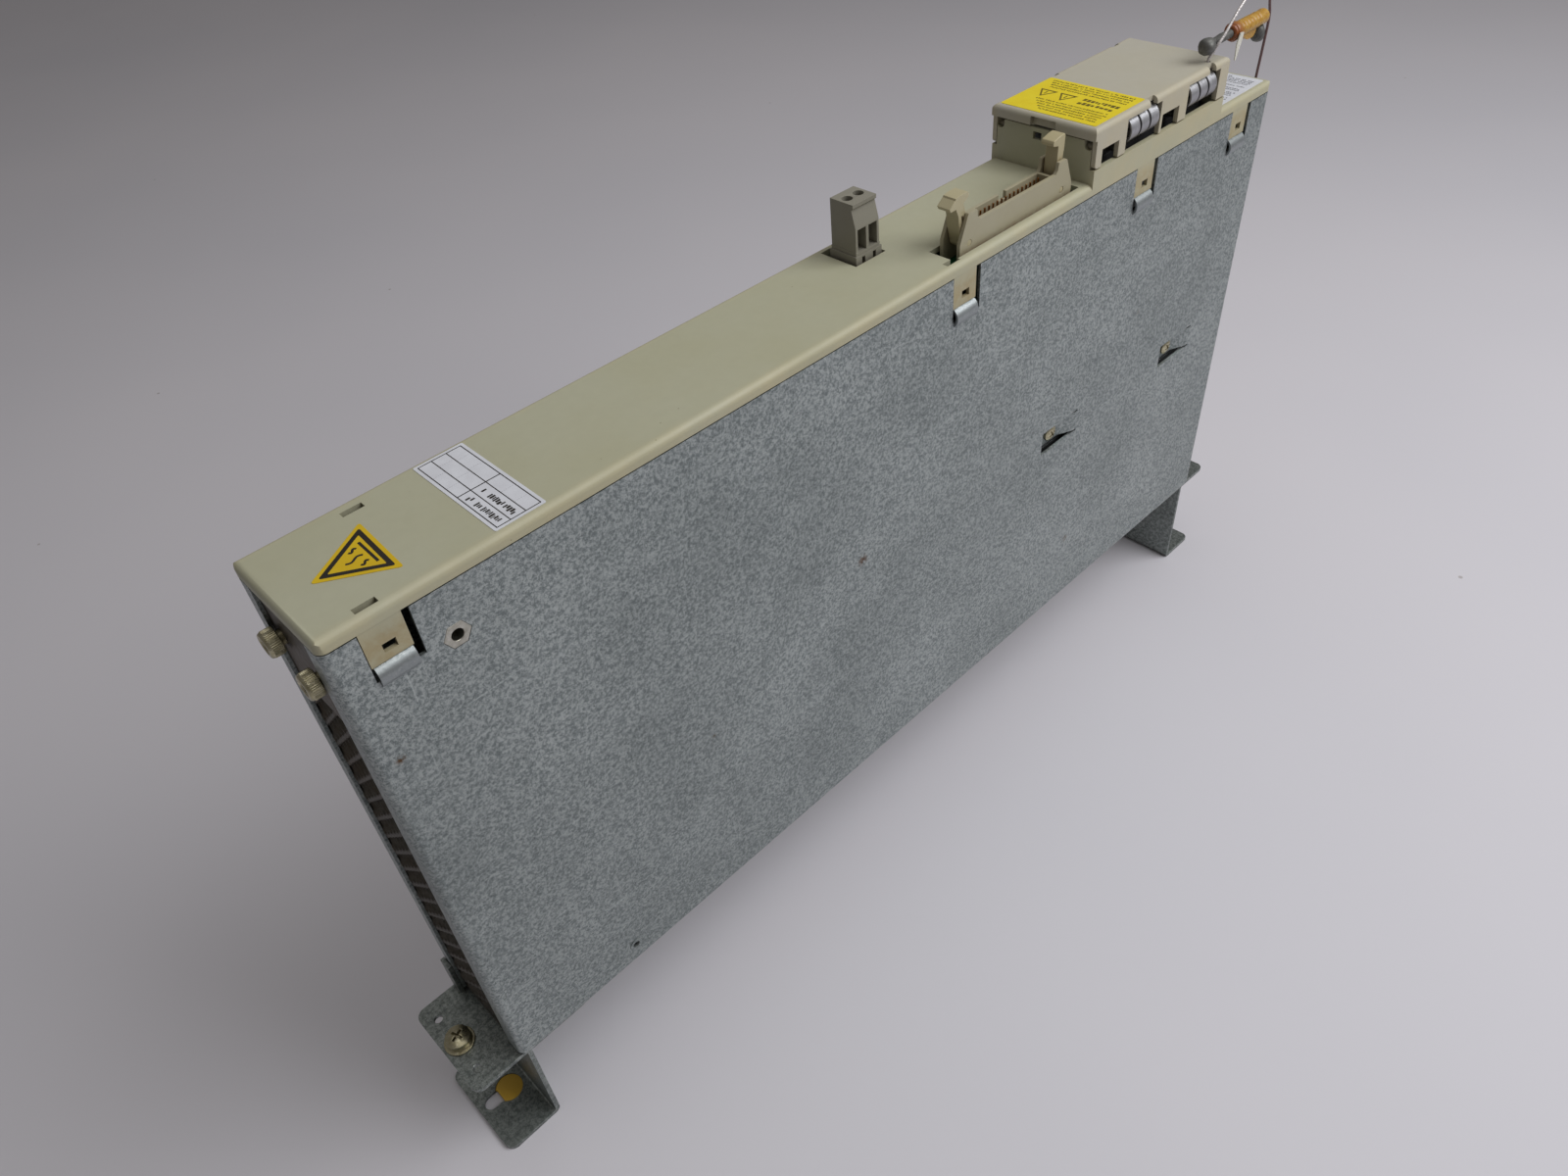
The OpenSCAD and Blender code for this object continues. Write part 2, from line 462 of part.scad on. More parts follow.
// ---------- inside ----------
standoff_p = [[-50, 80], [-50, 240], [80, 80], [80, 240], [215, 80], [215, 240]];
module main_board() color([0.09, 0.30, 0.18]) difference() {
  bx(-60, 226, 12.4, 14, 66, 254);
  for (p = standoff_p) cyl_y(p[0], p[1], 10, 16, 1.6);
}
module board_standoffs() color([0.72, 0.66, 0.40]) for (p = standoff_p) difference() {
  cyl_y(p[0], p[1], 14, hw - sheet, 3);
  cyl_y(p[0], p[1], 13, hw + 1, 1.6);
}
module board_screws() color([0.72, 0.70, 0.62]) for (p = standoff_p) {
  cyl_y(p[0], p[1], 10.2, 12.4, 2.8);
  cyl_y(p[0], p[1], 12, 20, 1.55);
}
module heatsink() color([0.66, 0.67, 0.68]) difference() {
  union() {
    bx(66, 216, -3, 2, 92, 200);
    for (i = [0:15]) bx(66, 216, -20.2, -2.5, 92 + i*7.06, 94 + i*7.06);
  }
  for (t = tongue_x) cyl_y(t[0] + 10, (tongue_z[0] + tongue_z[1])/2 + 0.5, -21, -11, 2.15);
}
module power_modules() color([0.13, 0.13, 0.14]) for (x = [84, 150]) {
  bx(x, x + 50, 2, 11.2, 106, 186);
  for (i = [0:4]) bx(x + 5 + i*9, x + 7 + i*9, 6, 12.4, 186, 187);
}
module module_screws() color([0.72, 0.70, 0.62]) for (x = [75, 142, 208], z = [112, 180]) {
  cyl_y(x, z, 2, 5, 3.5);
}
module resistor_cores() color([0.78, 0.76, 0.70]) for (z = [96, 132, 168, 204], y = [-9.6, 9.6]) difference() {
  union() {
    cyl_x(y, z, -212, -82, 7.4);
    for (i = [0:9]) cyl_x(y, z, -204 + i*12, -200 + i*12, 8.6);
  }
  cyl_x(y, z, -214, -80, 3.2);
}
module resistor_brackets() color([0.62, 0.64, 0.65]) for (x = [-214, -81.2]) difference() {
  bx(x, x + 1.6, -20, 20, 74, 226);
  for (z = [96, 132, 168, 204], y = [-9.6, 9.6]) cyl_x(y, z, x - 1, x + 3, 2.6);
}
module resistor_rods() color([0.60, 0.61, 0.62]) for (z = [96, 132, 168, 204], y = [-9.6, 9.6]) {
  cyl_x(y, z, -219, -75, 2.4);
  cyl_x(y, z, -218, -214.1, 4.2);
  cyl_x(y, z, -79.5, -76, 4.2);
}
module dc_capacitors() color([0.16, 0.20, 0.30]) for (x = [-34, 2, 38], z = [100, 140]) {
  cyl_y(x, z, -19, 12.4, 15);
  cyl_y(x, z, -19.6, -18.9, 13.6);
}
module insulation_sheet() color([0.82, 0.80, 0.72]) difference() {
  bx(-64, 230, 20, 20.5, 62, 250);
  for (p = standoff_p) cyl_y(p[0], p[1], 18, 22, 3.3);
}
module ribbon_cable() color([0.55, 0.56, 0.58]) along_x(24, 68) // flat cable from front board to main board
  polygon([[8, hd_z - 1.6], [8, 256], [11.2, 251], [11.2, 244], [12.4, 244], [12.4, 243], [10.2, 243], [10.2, 250.7], [7, 255.6], [7, hd_z - 1.6]]);

// ---------- labels ----------
lt = 0.15;
module danger_label() color([0.92, 0.80, 0.10]) bx(99.8, 134.2, -22.6, 22.6, zl, zl + lt);
module hot_surface_label() color([0.92, 0.72, 0.06]) translate([0, 0, zc]) linear_extrude(lt)
  polygon([[-206.4, 11.4], [-206.4, 9.6], [-207.6, -15.4], [-209.0, -15.6], [-228.6, -3.4], [-228.8, -1.2], [-208.0, 11.6]]);
module rating_label() color([0.90, 0.91, 0.93]) bx(-182.8, -165.3, -22.5, 22.5, zc, zc + lt);
module info_label() color([0.90, 0.91, 0.93]) bx(197.5, 236.6, -22.5, 22.5, zc, zc + lt);

// ---------- wire seal on the lid ----------
wire_d = 1.2;
seal_pts = [[184.8, -20.4, zl - 2.6], [184.8, -20.4, zl + 0.6], [185.6, -21.4, zl + 3.2], [186.2, -22.8, zl + 6.5],
  [189.5, -23.3, zl + 9.7], [192.7, -23.4, zl + 12.8], [197.8, -23.4, zl + 17.3], [203, -23.2, zl + 20.6], [210, -22.6, zl + 24.4], [218, -21.6, zl + 27],
  [226, -20, zl + 27.2], [233, -18, zl + 23.6], [238.6, -16.4, zl + 16.6], [242.2, -15.2, zl + 9.2],
  [244.8, -15, zl + 3.6], [245.4, -15, zl - 1.2], [245.2, -15, zl - 6], [244.5, -15.1, zl - 14], [243.7, -15.2, zl - 23],
  [243.6, -15.2, zl - 33]];
function unit(v) = v/norm(v);
function tan_at(p, i) = unit(p[min(i + 1, len(p) - 1)] - p[max(i - 1, 0)]);
module tube(p, d, n) {                   // closed tube swept along points
  ring = [for (i = [0:len(p) - 1]) let (t = tan_at(p, i), u = unit(cross(t, [0, 1, 0])), v = cross(t, u))
    [for (k = [0:n - 1]) p[i] + d/2*(cos(360*k/n)*u + sin(360*k/n)*v)]];
  pts = [for (r = ring) for (q = r) q];
  m = len(p);
  polyhedron(points = pts, faces = concat(
    [for (i = [0:m - 2], k = [0:n - 1]) [i*n + k, i*n + (k + 1)%n, (i + 1)*n + (k + 1)%n]],
    [for (i = [0:m - 2], k = [0:n - 1]) [i*n + k, (i + 1)*n + (k + 1)%n, (i + 1)*n + k]],
    [[for (k = [0:n - 1]) n - 1 - k]], [[for (k = [0:n - 1]) (m - 1)*n + k]]));
}
module seal_wire() color([0.62, 0.62, 0.64]) tube(seal_pts, wire_d, 8);
// crimped barrel beside the wire, its axis level, with a folded flap below
bar_y = -20; bar_z = zl + 6.9;
module seal_body() color([0.80, 0.55, 0.12]) {
  cyl_x(bar_y, bar_z, 200.5, 229, 3.3);
  cyl_x(bar_y, bar_z, 202, 205.6, 3.8);
  hull() { bx(208, 223, bar_y - 1.2, bar_y + 1.2, bar_z - 4, bar_z); bx(214, 222, bar_y - 1, bar_y + 1, bar_z - 6.6, bar_z - 4); }
}
module seal_pellets() color([0.36, 0.40, 0.42]) {
  cyl_x(bar_y, bar_z, 185.2, 200.5, 2);                 // stem into the barrel
  cyl_x(bar_y, bar_z - 0.4, 179.4, 185.2, 3.7);         // lump on the wire
  cyl_z(226.6, bar_y, bar_z - 10, bar_z - 3.3, 3);      // lump under the far end
  cyl_x(bar_y, bar_z, 229, 230.4, 2.5);                 // end cap of the barrel
  cyl_z(243.6, -15.2, zl - 37, zl - 32, 2.2);
}

near_side_panel();
chassis();
top_grille();
bottom_grille();
end_screws();
front_cover();
busbar_lid();
busbar_plus();
busbar_minus();
link_spring_plus();
link_spring_minus();
bus_insulator();
header_body();
header_pins();
latch_left();
latch_right();
front_board();
front_board_posts();
terminal_socket();
terminal_pins();
terminal_plug();
terminal_screw_1();
terminal_screw_2();
clamp_cage_1();
clamp_cage_2();
top_bracket();
bottom_bracket();
top_tab();
bottom_tab();
bracket_rivets();
earth_screws();
earth_washers();
keyhole_plug();
panel_insert();
side_screws();
main_board();
board_standoffs();
board_screws();
heatsink();
power_modules();
module_screws();
resistor_cores();
resistor_brackets();
resistor_rods();
dc_capacitors();
insulation_sheet();
ribbon_cable();
danger_label();
hot_surface_label();
rating_label();
info_label();
seal_wire();
seal_body();
seal_pellets();
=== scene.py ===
import bpy, bmesh, json, math, random
from mathutils import Matrix, Vector


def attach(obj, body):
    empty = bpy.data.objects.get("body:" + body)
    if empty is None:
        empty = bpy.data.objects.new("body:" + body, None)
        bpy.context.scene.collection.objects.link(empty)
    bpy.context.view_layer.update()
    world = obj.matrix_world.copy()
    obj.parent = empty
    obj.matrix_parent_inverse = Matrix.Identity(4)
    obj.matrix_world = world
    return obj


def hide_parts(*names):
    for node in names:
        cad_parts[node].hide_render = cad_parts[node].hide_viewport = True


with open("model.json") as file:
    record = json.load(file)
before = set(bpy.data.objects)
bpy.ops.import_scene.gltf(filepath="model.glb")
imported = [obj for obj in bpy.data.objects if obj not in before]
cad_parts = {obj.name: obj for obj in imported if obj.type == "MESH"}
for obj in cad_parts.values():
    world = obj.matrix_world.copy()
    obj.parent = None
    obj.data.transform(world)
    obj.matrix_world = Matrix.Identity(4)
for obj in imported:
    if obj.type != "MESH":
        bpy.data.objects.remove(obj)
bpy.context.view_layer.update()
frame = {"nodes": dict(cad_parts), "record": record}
N = frame["nodes"]
MM = 0.001
random.seed(7)

# ---------------------------------------------------------------- camera
cam_data = bpy.data.cameras.new("view_camera")
cam_data.sensor_fit = "HORIZONTAL"
cam_data.sensor_width = 36.0
cam_data.lens = 25.879
cam_data.clip_start = 0.01
cam_data.clip_end = 30.0
cam = bpy.data.objects.new("view_camera", cam_data)
bpy.context.scene.collection.objects.link(cam)
R = Vector((0.711992, -0.698205, -0.074679))
D = Vector((-0.513947, -0.4457, -0.732946))
F = Vector((0.478462, 0.560233, -0.676175))
cam.matrix_world = Matrix(((R.x, -D.x, -F.x, -0.28349), (R.y, -D.y, -F.y, -0.26057),
                           (R.z, -D.z, -F.z, 0.48215), (0, 0, 0, 1)))
bpy.context.scene.camera = cam
vs = bpy.context.scene.view_settings
vs.view_transform = "Standard"
vs.look = "None"


# ---------------------------------------------------------------- material helpers
def srgb(r, g, b):
    return tuple(((c / 255) / 12.92 if c <= 10 else (((c / 255) + 0.055) / 1.055) ** 2.4) for c in (r, g, b)) + (1.0,)


class Mat:
    """A small builder for one procedural material. Patterns read object coordinates, in metres."""

    def __init__(self, name, rough=0.5, metal=0.0, **socks):
        self.m = bpy.data.materials.new(name)
        self.m.use_nodes = True
        self.nt = self.m.node_tree
        self.nt.nodes.clear()
        self.out = self.nt.nodes.new("ShaderNodeOutputMaterial")
        self.b = self.nt.nodes.new("ShaderNodeBsdfPrincipled")
        self.nt.links.new(self.b.outputs[0], self.out.inputs[0])
        self.b.inputs["Metallic"].default_value = metal
        self.b.inputs["Roughness"].default_value = rough
        for k, v in socks.items():
            self.b.inputs[k.replace("_", " ")].default_value = v
        self.co = self.nt.nodes.new("ShaderNodeTexCoord").outputs["Object"]
        self.normal = None
        self.xyz = None

    def put(self, sock, v):
        if isinstance(v, bpy.types.NodeSocket):
            self.nt.links.new(v, sock)
        else:
            sock.default_value = v

    def math(self, op, a, b=0.0, clamp=False):
        n = self.nt.nodes.new("ShaderNodeMath")
        n.operation = op
        n.use_clamp = clamp
        self.put(n.inputs[0], a)
        self.put(n.inputs[1], b)
        return n.outputs[0]

    def axis(self, i):
        if self.xyz is None:
            n = self.nt.nodes.new("ShaderNodeSeparateXYZ")
            self.nt.links.new(self.co, n.inputs[0])
            self.xyz = n.outputs
        return self.xyz[i]

    def stretch(self, sx, sy, sz, loc=(0, 0, 0), rot=(0, 0, 0)):
        n = self.nt.nodes.new("ShaderNodeMapping")
        self.nt.links.new(self.co, n.inputs[0])
        n.inputs["Scale"].default_value = (sx, sy, sz)
        n.inputs["Location"].default_value = loc
        n.inputs["Rotation"].default_value = rot
        return n.outputs[0]

    def noise(self, scale, detail=2.0, rough=0.5, co=None, dist=0.0):
        n = self.nt.nodes.new("ShaderNodeTexNoise")
        self.nt.links.new(co or self.co, n.inputs["Vector"])
        n.inputs["Scale"].default_value = scale
        n.inputs["Detail"].default_value = detail
        n.inputs["Roughness"].default_value = rough
        n.inputs["Distortion"].default_value = dist
        return n.outputs["Fac"]

    def voronoi(self, scale, feature="F1", co=None, rnd=1.0, out="Distance"):
        n = self.nt.nodes.new("ShaderNodeTexVoronoi")
        n.feature = feature
        self.nt.links.new(co or self.co, n.inputs["Vector"])
        n.inputs["Scale"].default_value = scale
        n.inputs["Randomness"].default_value = rnd
        return n.outputs[out]

    def ramp(self, fac, lo, hi, a=0.0, b=1.0):
        n = self.nt.nodes.new("ShaderNodeMapRange")
        n.inputs["From Min"].default_value = lo
        n.inputs["From Max"].default_value = hi
        n.inputs["To Min"].default_value = a
        n.inputs["To Max"].default_value = b
        self.put(n.inputs["Value"], fac)
        return n.outputs[0]

    def mix(self, fac, a, b, mode="MIX"):
        n = self.nt.nodes.new("ShaderNodeMix")
        n.data_type = "RGBA"
        n.blend_type = mode
        self.put(n.inputs["Factor"], fac)
        self.put(n.inputs["A"], a) if False else None
        ins = [i for i in n.inputs if i.type == "RGBA"]
        self.put(ins[0], a)
        self.put(ins[1], b)
        return [o for o in n.outputs if o.type == "RGBA"][0]

    def near(self, p, r0, r1):
        """1 within r0 of the point p (metres), 0 beyond r1."""
        n = self.nt.nodes.new("ShaderNodeVectorMath")
        n.operation = "DISTANCE"
        self.nt.links.new(self.co, n.inputs[0])
        n.inputs[1].default_value = p
        return self.ramp(n.outputs["Value"], r0, r1, 1.0, 0.0)

    def crease(self, dist, lo=0.3, hi=0.9):
        """1 in corners and under ledges, 0 on open faces."""
        n = self.nt.nodes.new("ShaderNodeAmbientOcclusion")
        n.samples = 4
        n.inputs["Distance"].default_value = dist
        return self.ramp(n.outputs["AO"], lo, hi, 1.0, 0.0)

    def bump(self, h, strength, dist=0.0002):
        n = self.nt.nodes.new("ShaderNodeBump")
        n.inputs["Strength"].default_value = strength
        n.inputs["Distance"].default_value = dist
        self.put(n.inputs["Height"], h)
        if self.normal is not None:
            self.nt.links.new(self.normal, n.inputs["Normal"])
        self.normal = n.outputs[0]

    def done(self, color, rough=None, metal=None):
        self.put(self.b.inputs["Base Color"], color)
        if rough is not None:
            self.put(self.b.inputs["Roughness"], rough)
        if metal is not None:
            self.put(self.b.inputs["Metallic"], metal)
        if self.normal is not None:
            self.nt.links.new(self.normal, self.b.inputs["Normal"])
        return self.m


CLIPS = (-222.5, 20, 138.5, 214)


def zinc(name, dark, light, grain=2700, rough=0.46, metal=0.8, hooks=False, spots=()):
    """Galvanised sheet: fine crystalline speckle over soft clouds, rolling streaks, faint scratches."""
    m = Mat(name, rough, metal)
    fine = m.noise(grain, 2.0, 0.6)
    coarse = m.noise(grain * 0.32, 2.0, 0.55)
    cloud = m.noise(14, 4.0, 0.6)
    streak = m.noise(1.0, 3.0, 0.6, co=m.stretch(10, 120, 160))
    g = m.math("ADD", m.math("MULTIPLY", fine, 0.42), m.math("MULTIPLY", coarse, 0.58))
    c = m.mix(m.ramp(g, 0.40, 0.60), dark, light)
    c = m.mix(m.ramp(cloud, 0.35, 0.7, 0.0, 0.35), c, tuple(x * 0.72 for x in dark[:3]) + (1,))
    c = m.mix(m.ramp(streak, 0.55, 0.75, 0.0, 0.16), c, tuple(min(1, x * 1.25) for x in light[:3]) + (1,))
    pits = m.voronoi(330)
    c = m.mix(m.ramp(pits, 0.05, 0.12, 0.55, 0.0), c, tuple(x * 0.35 for x in dark[:3]) + (1,))
    s1 = m.noise(1.0, 2.0, 0.5, co=m.stretch(26, 900, 900, rot=(0, 0.35, 0)))
    s2 = m.noise(1.0, 2.0, 0.5, co=m.stretch(700, 900, 22, rot=(0, -0.22, 0)))
    scr = m.math("MAXIMUM", m.ramp(s1, 0.72, 0.76), m.ramp(s2, 0.73, 0.77))
    c = m.mix(m.math("MULTIPLY", scr, 0.3), c, tuple(min(1, x * 1.5) for x in light[:3]) + (1,))
    r = m.math("ADD", m.ramp(fine, 0.3, 0.7, rough + 0.10, rough - 0.08), m.ramp(cloud, 0.3, 0.7, -0.04, 0.07))
    # painted shade: corners and creases darkened brown through the occlusion mask, partly grime
    shade_grime = m.crease(0.004, 0.25, 0.75)
    c = m.mix(m.math("MULTIPLY", shade_grime, 0.55), c, srgb(70, 64, 54))
    if hooks:
        near = None
        for x in CLIPS:
            n = m.math("MULTIPLY", m.ramp(m.math("ABSOLUTE", m.math("SUBTRACT", m.axis(0), x * MM)), 0.0064, 0.0072, 1, 0),
                       m.math("MULTIPLY", m.ramp(m.axis(2), 0.2628, 0.2640), m.ramp(m.axis(2), 0.2718, 0.2724, 1, 0)))
            n = m.math("MULTIPLY", n, m.ramp(m.math("ABSOLUTE", m.axis(1)), 0.02475, 0.0251))
            near = n if near is None else m.math("MAXIMUM", near, n)
        rub = m.noise(1.0, 3.0, 0.6, co=m.stretch(160, 1500, 1500))
        c = m.mix(m.math("MULTIPLY", near, m.ramp(rub, 0.3, 0.6, 0.55, 1.0)), c, srgb(152, 157, 158))
        r = m.math("SUBTRACT", r, m.math("MULTIPLY", near, 0.04))
    for (p, rad, col) in spots:
        blot = m.math("MULTIPLY", m.near(p, rad * 0.25, rad), m.ramp(m.noise(900, 3.0, 0.6), 0.4, 0.6))
        c = m.mix(blot, c, col)
    m.bump(m.math("ADD", m.math("MULTIPLY", fine, 0.6), m.math("MULTIPLY", coarse, 0.4)), 0.12, 0.0001)
    m.bump(scr, 0.10, 0.00005)
    m.bump(cloud, 0.25, 0.0006)
    return m.done(c, r)


def plastic(name, col, old, rough=0.48, grain=2600, bumpy=0.10, shade_grime=0.6, tabs=False, edge_y=None, shade_dirt_rgb=(96, 74, 44)):
    """Moulded housing plastic: spark-eroded grain, uneven yellowing, painted shade with grime in the corners, a painted
    highlight along the long edges.
    """
    m = Mat(name, rough, 0.0, IOR=1.48)
    cloud = m.noise(22, 4.0, 0.6)
    mott = m.noise(260, 3.0, 0.6)
    fine = m.noise(grain, 2.0, 0.6)
    c = m.mix(m.ramp(cloud, 0.35, 0.68, 0.0, 0.45), col, old)
    c = m.mix(m.ramp(mott, 0.35, 0.65, 0.0, 0.12), c, tuple(x * 0.8 for x in col[:3]) + (1,))
    if tabs:
        low = m.ramp(m.axis(2), 0.2836, 0.2790)
        stain = m.math("MULTIPLY", low, m.ramp(m.noise(240, 4.0, 0.65), 0.32, 0.62, 0.25, 0.9))
        c = m.mix(stain, c, srgb(146, 132, 100))
    if edge_y:
        # painted highlight: a lighter band along the rounded long edges
        edge_highlight = m.math("MULTIPLY", m.ramp(m.math("ABSOLUTE", m.axis(1)), edge_y - 0.004, edge_y), m.ramp(m.noise(60, 3.0, 0.6), 0.3, 0.7, 0.2, 0.8))
        c = m.mix(m.math("MULTIPLY", edge_highlight, 0.5), c, srgb(196, 180, 138))
    # painted shade: corners and recesses darkened in the dirt colour through the occlusion mask, mixed with some grime
    ao = m.crease(0.0035, 0.30, 0.80)
    shade_dirt = m.math("MULTIPLY", ao, m.ramp(m.noise(420, 4.0, 0.65), 0.30, 0.60, 0.25, 1.0))
    c = m.mix(m.math("MULTIPLY", shade_dirt, shade_grime), c, srgb(*shade_dirt_rgb))
    speck = m.ramp(m.voronoi(95), 0.020, 0.032, 1.0, 0.0)
    c = m.mix(m.math("MULTIPLY", speck, 0.5), c, srgb(96, 82, 58))
    m.bump(fine, bumpy, 0.0001)
    m.bump(mott, 0.05, 0.0003)
    r = m.math("ADD", m.ramp(cloud, 0.3, 0.7, rough - 0.04, rough + 0.07), m.math("MULTIPLY", shade_dirt, 0.2))
    return m.done(c, r)


def plated(name, a, b, rough=0.28, metal=1.0, tarnish=(88, 72, 44), amount=0.45, bump=0.08, scale=700):
    """Small plated metal part: uneven plating, tarnish in the recesses, turning marks."""
    m = Mat(name, rough, metal)
    n1 = m.noise(scale, 3.0, 0.6)
    n2 = m.noise(scale * 4, 2.0, 0.6)
    c = m.mix(m.ramp(n1, 0.3, 0.7), a, b)
    c = m.mix(m.ramp(n2, 0.55, 0.72, 0.0, 0.35), c, tuple(x * 0.6 for x in a[:3]) + (1,))
    ao = m.crease(0.002, 0.25, 0.8)
    c = m.mix(m.math("MULTIPLY", ao, amount), c, srgb(*tarnish))
    m.bump(n2, bump, 0.00006)
    r = m.math("ADD", m.ramp(n1, 0.3, 0.7, rough - 0.06, rough + 0.12), m.math("MULTIPLY", ao, 0.2))
    return m.done(c, r)


M = {}
M["zinc_sheet"] = zinc("zinc_sheet", srgb(122, 130, 130), srgb(184, 190, 188), hooks=True, spots=(
    ((-0.0395, -0.025, 0.1830), 0.0035, srgb(92, 62, 36)), ((-0.2325, -0.025, 0.2360), 0.0022, srgb(96, 70, 44)),
    ((0.1500, -0.025, 0.2100), 0.0016, srgb(100, 82, 58)), ((-0.1250, -0.025, 0.1500), 0.0014, srgb(104, 88, 64)),
    ((0.1100, -0.025, 0.0980), 0.0026, srgb(104, 84, 60))))
M["bracket_zinc"] = zinc("bracket_zinc", srgb(108, 114, 112), srgb(166, 172, 168), grain=1700, rough=0.40, metal=0.85)
M["cover_plastic"] = plastic("cover_plastic", srgb(172, 171, 148), srgb(163, 160, 130), tabs=True, edge_y=0.025)
M["lid_plastic"] = plastic("lid_plastic", srgb(178, 174, 160), srgb(170, 163, 140), edge_y=0.025)
M["header_plastic"] = plastic("header_plastic", srgb(164, 158, 134), srgb(154, 144, 112), rough=0.4, bumpy=0.04, shade_dirt_rgb=(104, 70, 36))
M["latch_plastic"] = plastic("latch_plastic", srgb(176, 168, 136), srgb(164, 148, 106), rough=0.36, bumpy=0.04, shade_dirt_rgb=(110, 74, 34))
M["terminal_plastic"] = plastic("terminal_plastic", srgb(136, 133, 121), srgb(126, 121, 107), rough=0.42, bumpy=0.05, shade_dirt_rgb=(70, 58, 40))
M["black_plastic"] = plastic("black_plastic", srgb(44, 44, 46), srgb(52, 51, 50), rough=0.45, shade_dirt_rgb=(80, 76, 66), shade_grime=0.4)
M["nickel"] = plated("nickel", srgb(198, 196, 186), srgb(172, 169, 156), rough=0.30)
M["yellow_zinc"] = plated("yellow_zinc", srgb(196, 190, 164), srgb(162, 154, 122), rough=0.28)
M["tinned_copper"] = plated("tinned_copper", srgb(200, 200, 198), srgb(176, 174, 168), rough=0.3)
M["pin_metal"] = plated("pin_metal", srgb(176, 128, 78), srgb(142, 92, 50), rough=0.32, tarnish=(60, 34, 18))
M["circuit_board"] = plastic("circuit_board", srgb(26, 92, 58), srgb(22, 78, 50), rough=0.35, bumpy=0.05, shade_dirt_rgb=(20, 30, 20))
M["aluminium"] = plated("aluminium", srgb(186, 188, 190), srgb(168, 170, 172), rough=0.38, tarnish=(70, 70, 70))
M["ceramic"] = plastic("ceramic", srgb(206, 200, 186), srgb(190, 182, 166), rough=0.6)
M["can_sleeve"] = plastic("can_sleeve", srgb(38, 50, 86), srgb(34, 44, 74), rough=0.32, shade_dirt_rgb=(24, 24, 30))
M["insulator_film"] = plastic("insulator_film", srgb(216, 210, 188), srgb(204, 196, 170), rough=0.4)
M["ribbon_grey"] = plastic("ribbon_grey", srgb(150, 152, 156), srgb(138, 140, 144), rough=0.5)
M["yellow_cap"] = plastic("yellow_cap", srgb(216, 174, 60), srgb(196, 150, 48), rough=0.5, shade_dirt_rgb=(96, 70, 30), bumpy=0.2, shade_grime=0.45)


def spring_steel():
    """Rolled contact strip: lengthwise polishing lines, bright on top with painted shade on the lower part, painted
    shade in the gaps between the fingers and in the creases.
    """
    m = Mat("spring_metal", 0.36, 0.7)
    lines = m.noise(1.0, 3.0, 0.6, co=m.stretch(2600, 160, 160))
    n = m.noise(500, 3.0, 0.6)
    c = m.mix(m.ramp(lines, 0.3, 0.7), srgb(176, 178, 182), srgb(214, 214, 218))
    # painted shade: the lower part of the strip darkened by height
    low = m.ramp(m.axis(2), 0.3055, 0.2985)
    c = m.mix(m.math("MULTIPLY", low, 0.72), c, srgb(74, 68, 64))
    # painted shade: dark lines in the gaps between the fingers
    gap = None
    for x in (128.6, 135.4, 172.6, 179.4):
        g = m.ramp(m.math("ABSOLUTE", m.math("SUBTRACT", m.axis(0), x * MM)), 0.00045, 0.0010, 1.0, 0.0)
        gap = g if gap is None else m.math("MAXIMUM", gap, g)
    c = m.mix(m.math("MULTIPLY", gap, 0.85), c, srgb(44, 38, 36))
    # painted shade in the creases through the occlusion mask
    ao = m.crease(0.0016, 0.2, 0.8)
    c = m.mix(m.math("MULTIPLY", ao, 0.4), c, srgb(70, 66, 60))
    m.bump(lines, 0.05, 0.00004)
    return m.done(c, m.ramp(n, 0.3, 0.7, 0.30, 0.44))


M["spring_metal"] = spring_steel()
M["seal_lead"] = plated("seal_lead", srgb(112, 112, 108), srgb(80, 80, 78), rough=0.52, metal=0.45, tarnish=(40, 40, 38), bump=0.6, scale=420)
M["seal_steel"] = M["seal_lead"]
M["seal_yellow"] = M["yellow_cap"]


def mesh_steel():
    """End sheet: dull dark galvanised steel, brownish from heat and dust."""
    m = Mat("end_mesh", 0.52, 0.7)
    n1 = m.noise(420, 4.0, 0.65)
    n2 = m.noise(1900, 2.0, 0.6)
    c = m.mix(m.ramp(n1, 0.32, 0.68), srgb(70, 67, 62), srgb(104, 101, 94))
    c = m.mix(m.ramp(n2, 0.5, 0.7, 0.0, 0.4), c, srgb(74, 62, 50))
    hot = m.ramp(m.axis(2), 0.10, 0.26, 0.1, 0.5)
    c = m.mix(m.math("MULTIPLY", hot, m.ramp(m.noise(60, 3.0), 0.35, 0.65)), c, srgb(86, 70, 54))
    m.bump(n2, 0.15, 0.0001)
    return m.done(c, m.ramp(n1, 0.3, 0.7, 0.42, 0.62))


M["end_mesh"] = mesh_steel()


def paper(name, a, b, rough=0.42):
    m = Mat(name, rough, 0.0, IOR=1.45)
    n1 = m.noise(130, 4.0, 0.6)
    n2 = m.noise(3000, 2.0, 0.6)
    c = m.mix(m.ramp(n1, 0.35, 0.7, 0.0, 0.8), a, b)
    scuff = m.ramp(m.noise(1.0, 3.0, 0.6, co=m.stretch(90, 900, 100)), 0.66, 0.74)
    c = m.mix(m.math("MULTIPLY", scuff, 0.25), c, tuple(x * 0.7 for x in a[:3]) + (1,))
    m.bump(n2, 0.04, 0.00005)
    return m.done(c, m.ramp(n1, 0.3, 0.7, rough - 0.06, rough + 0.08))


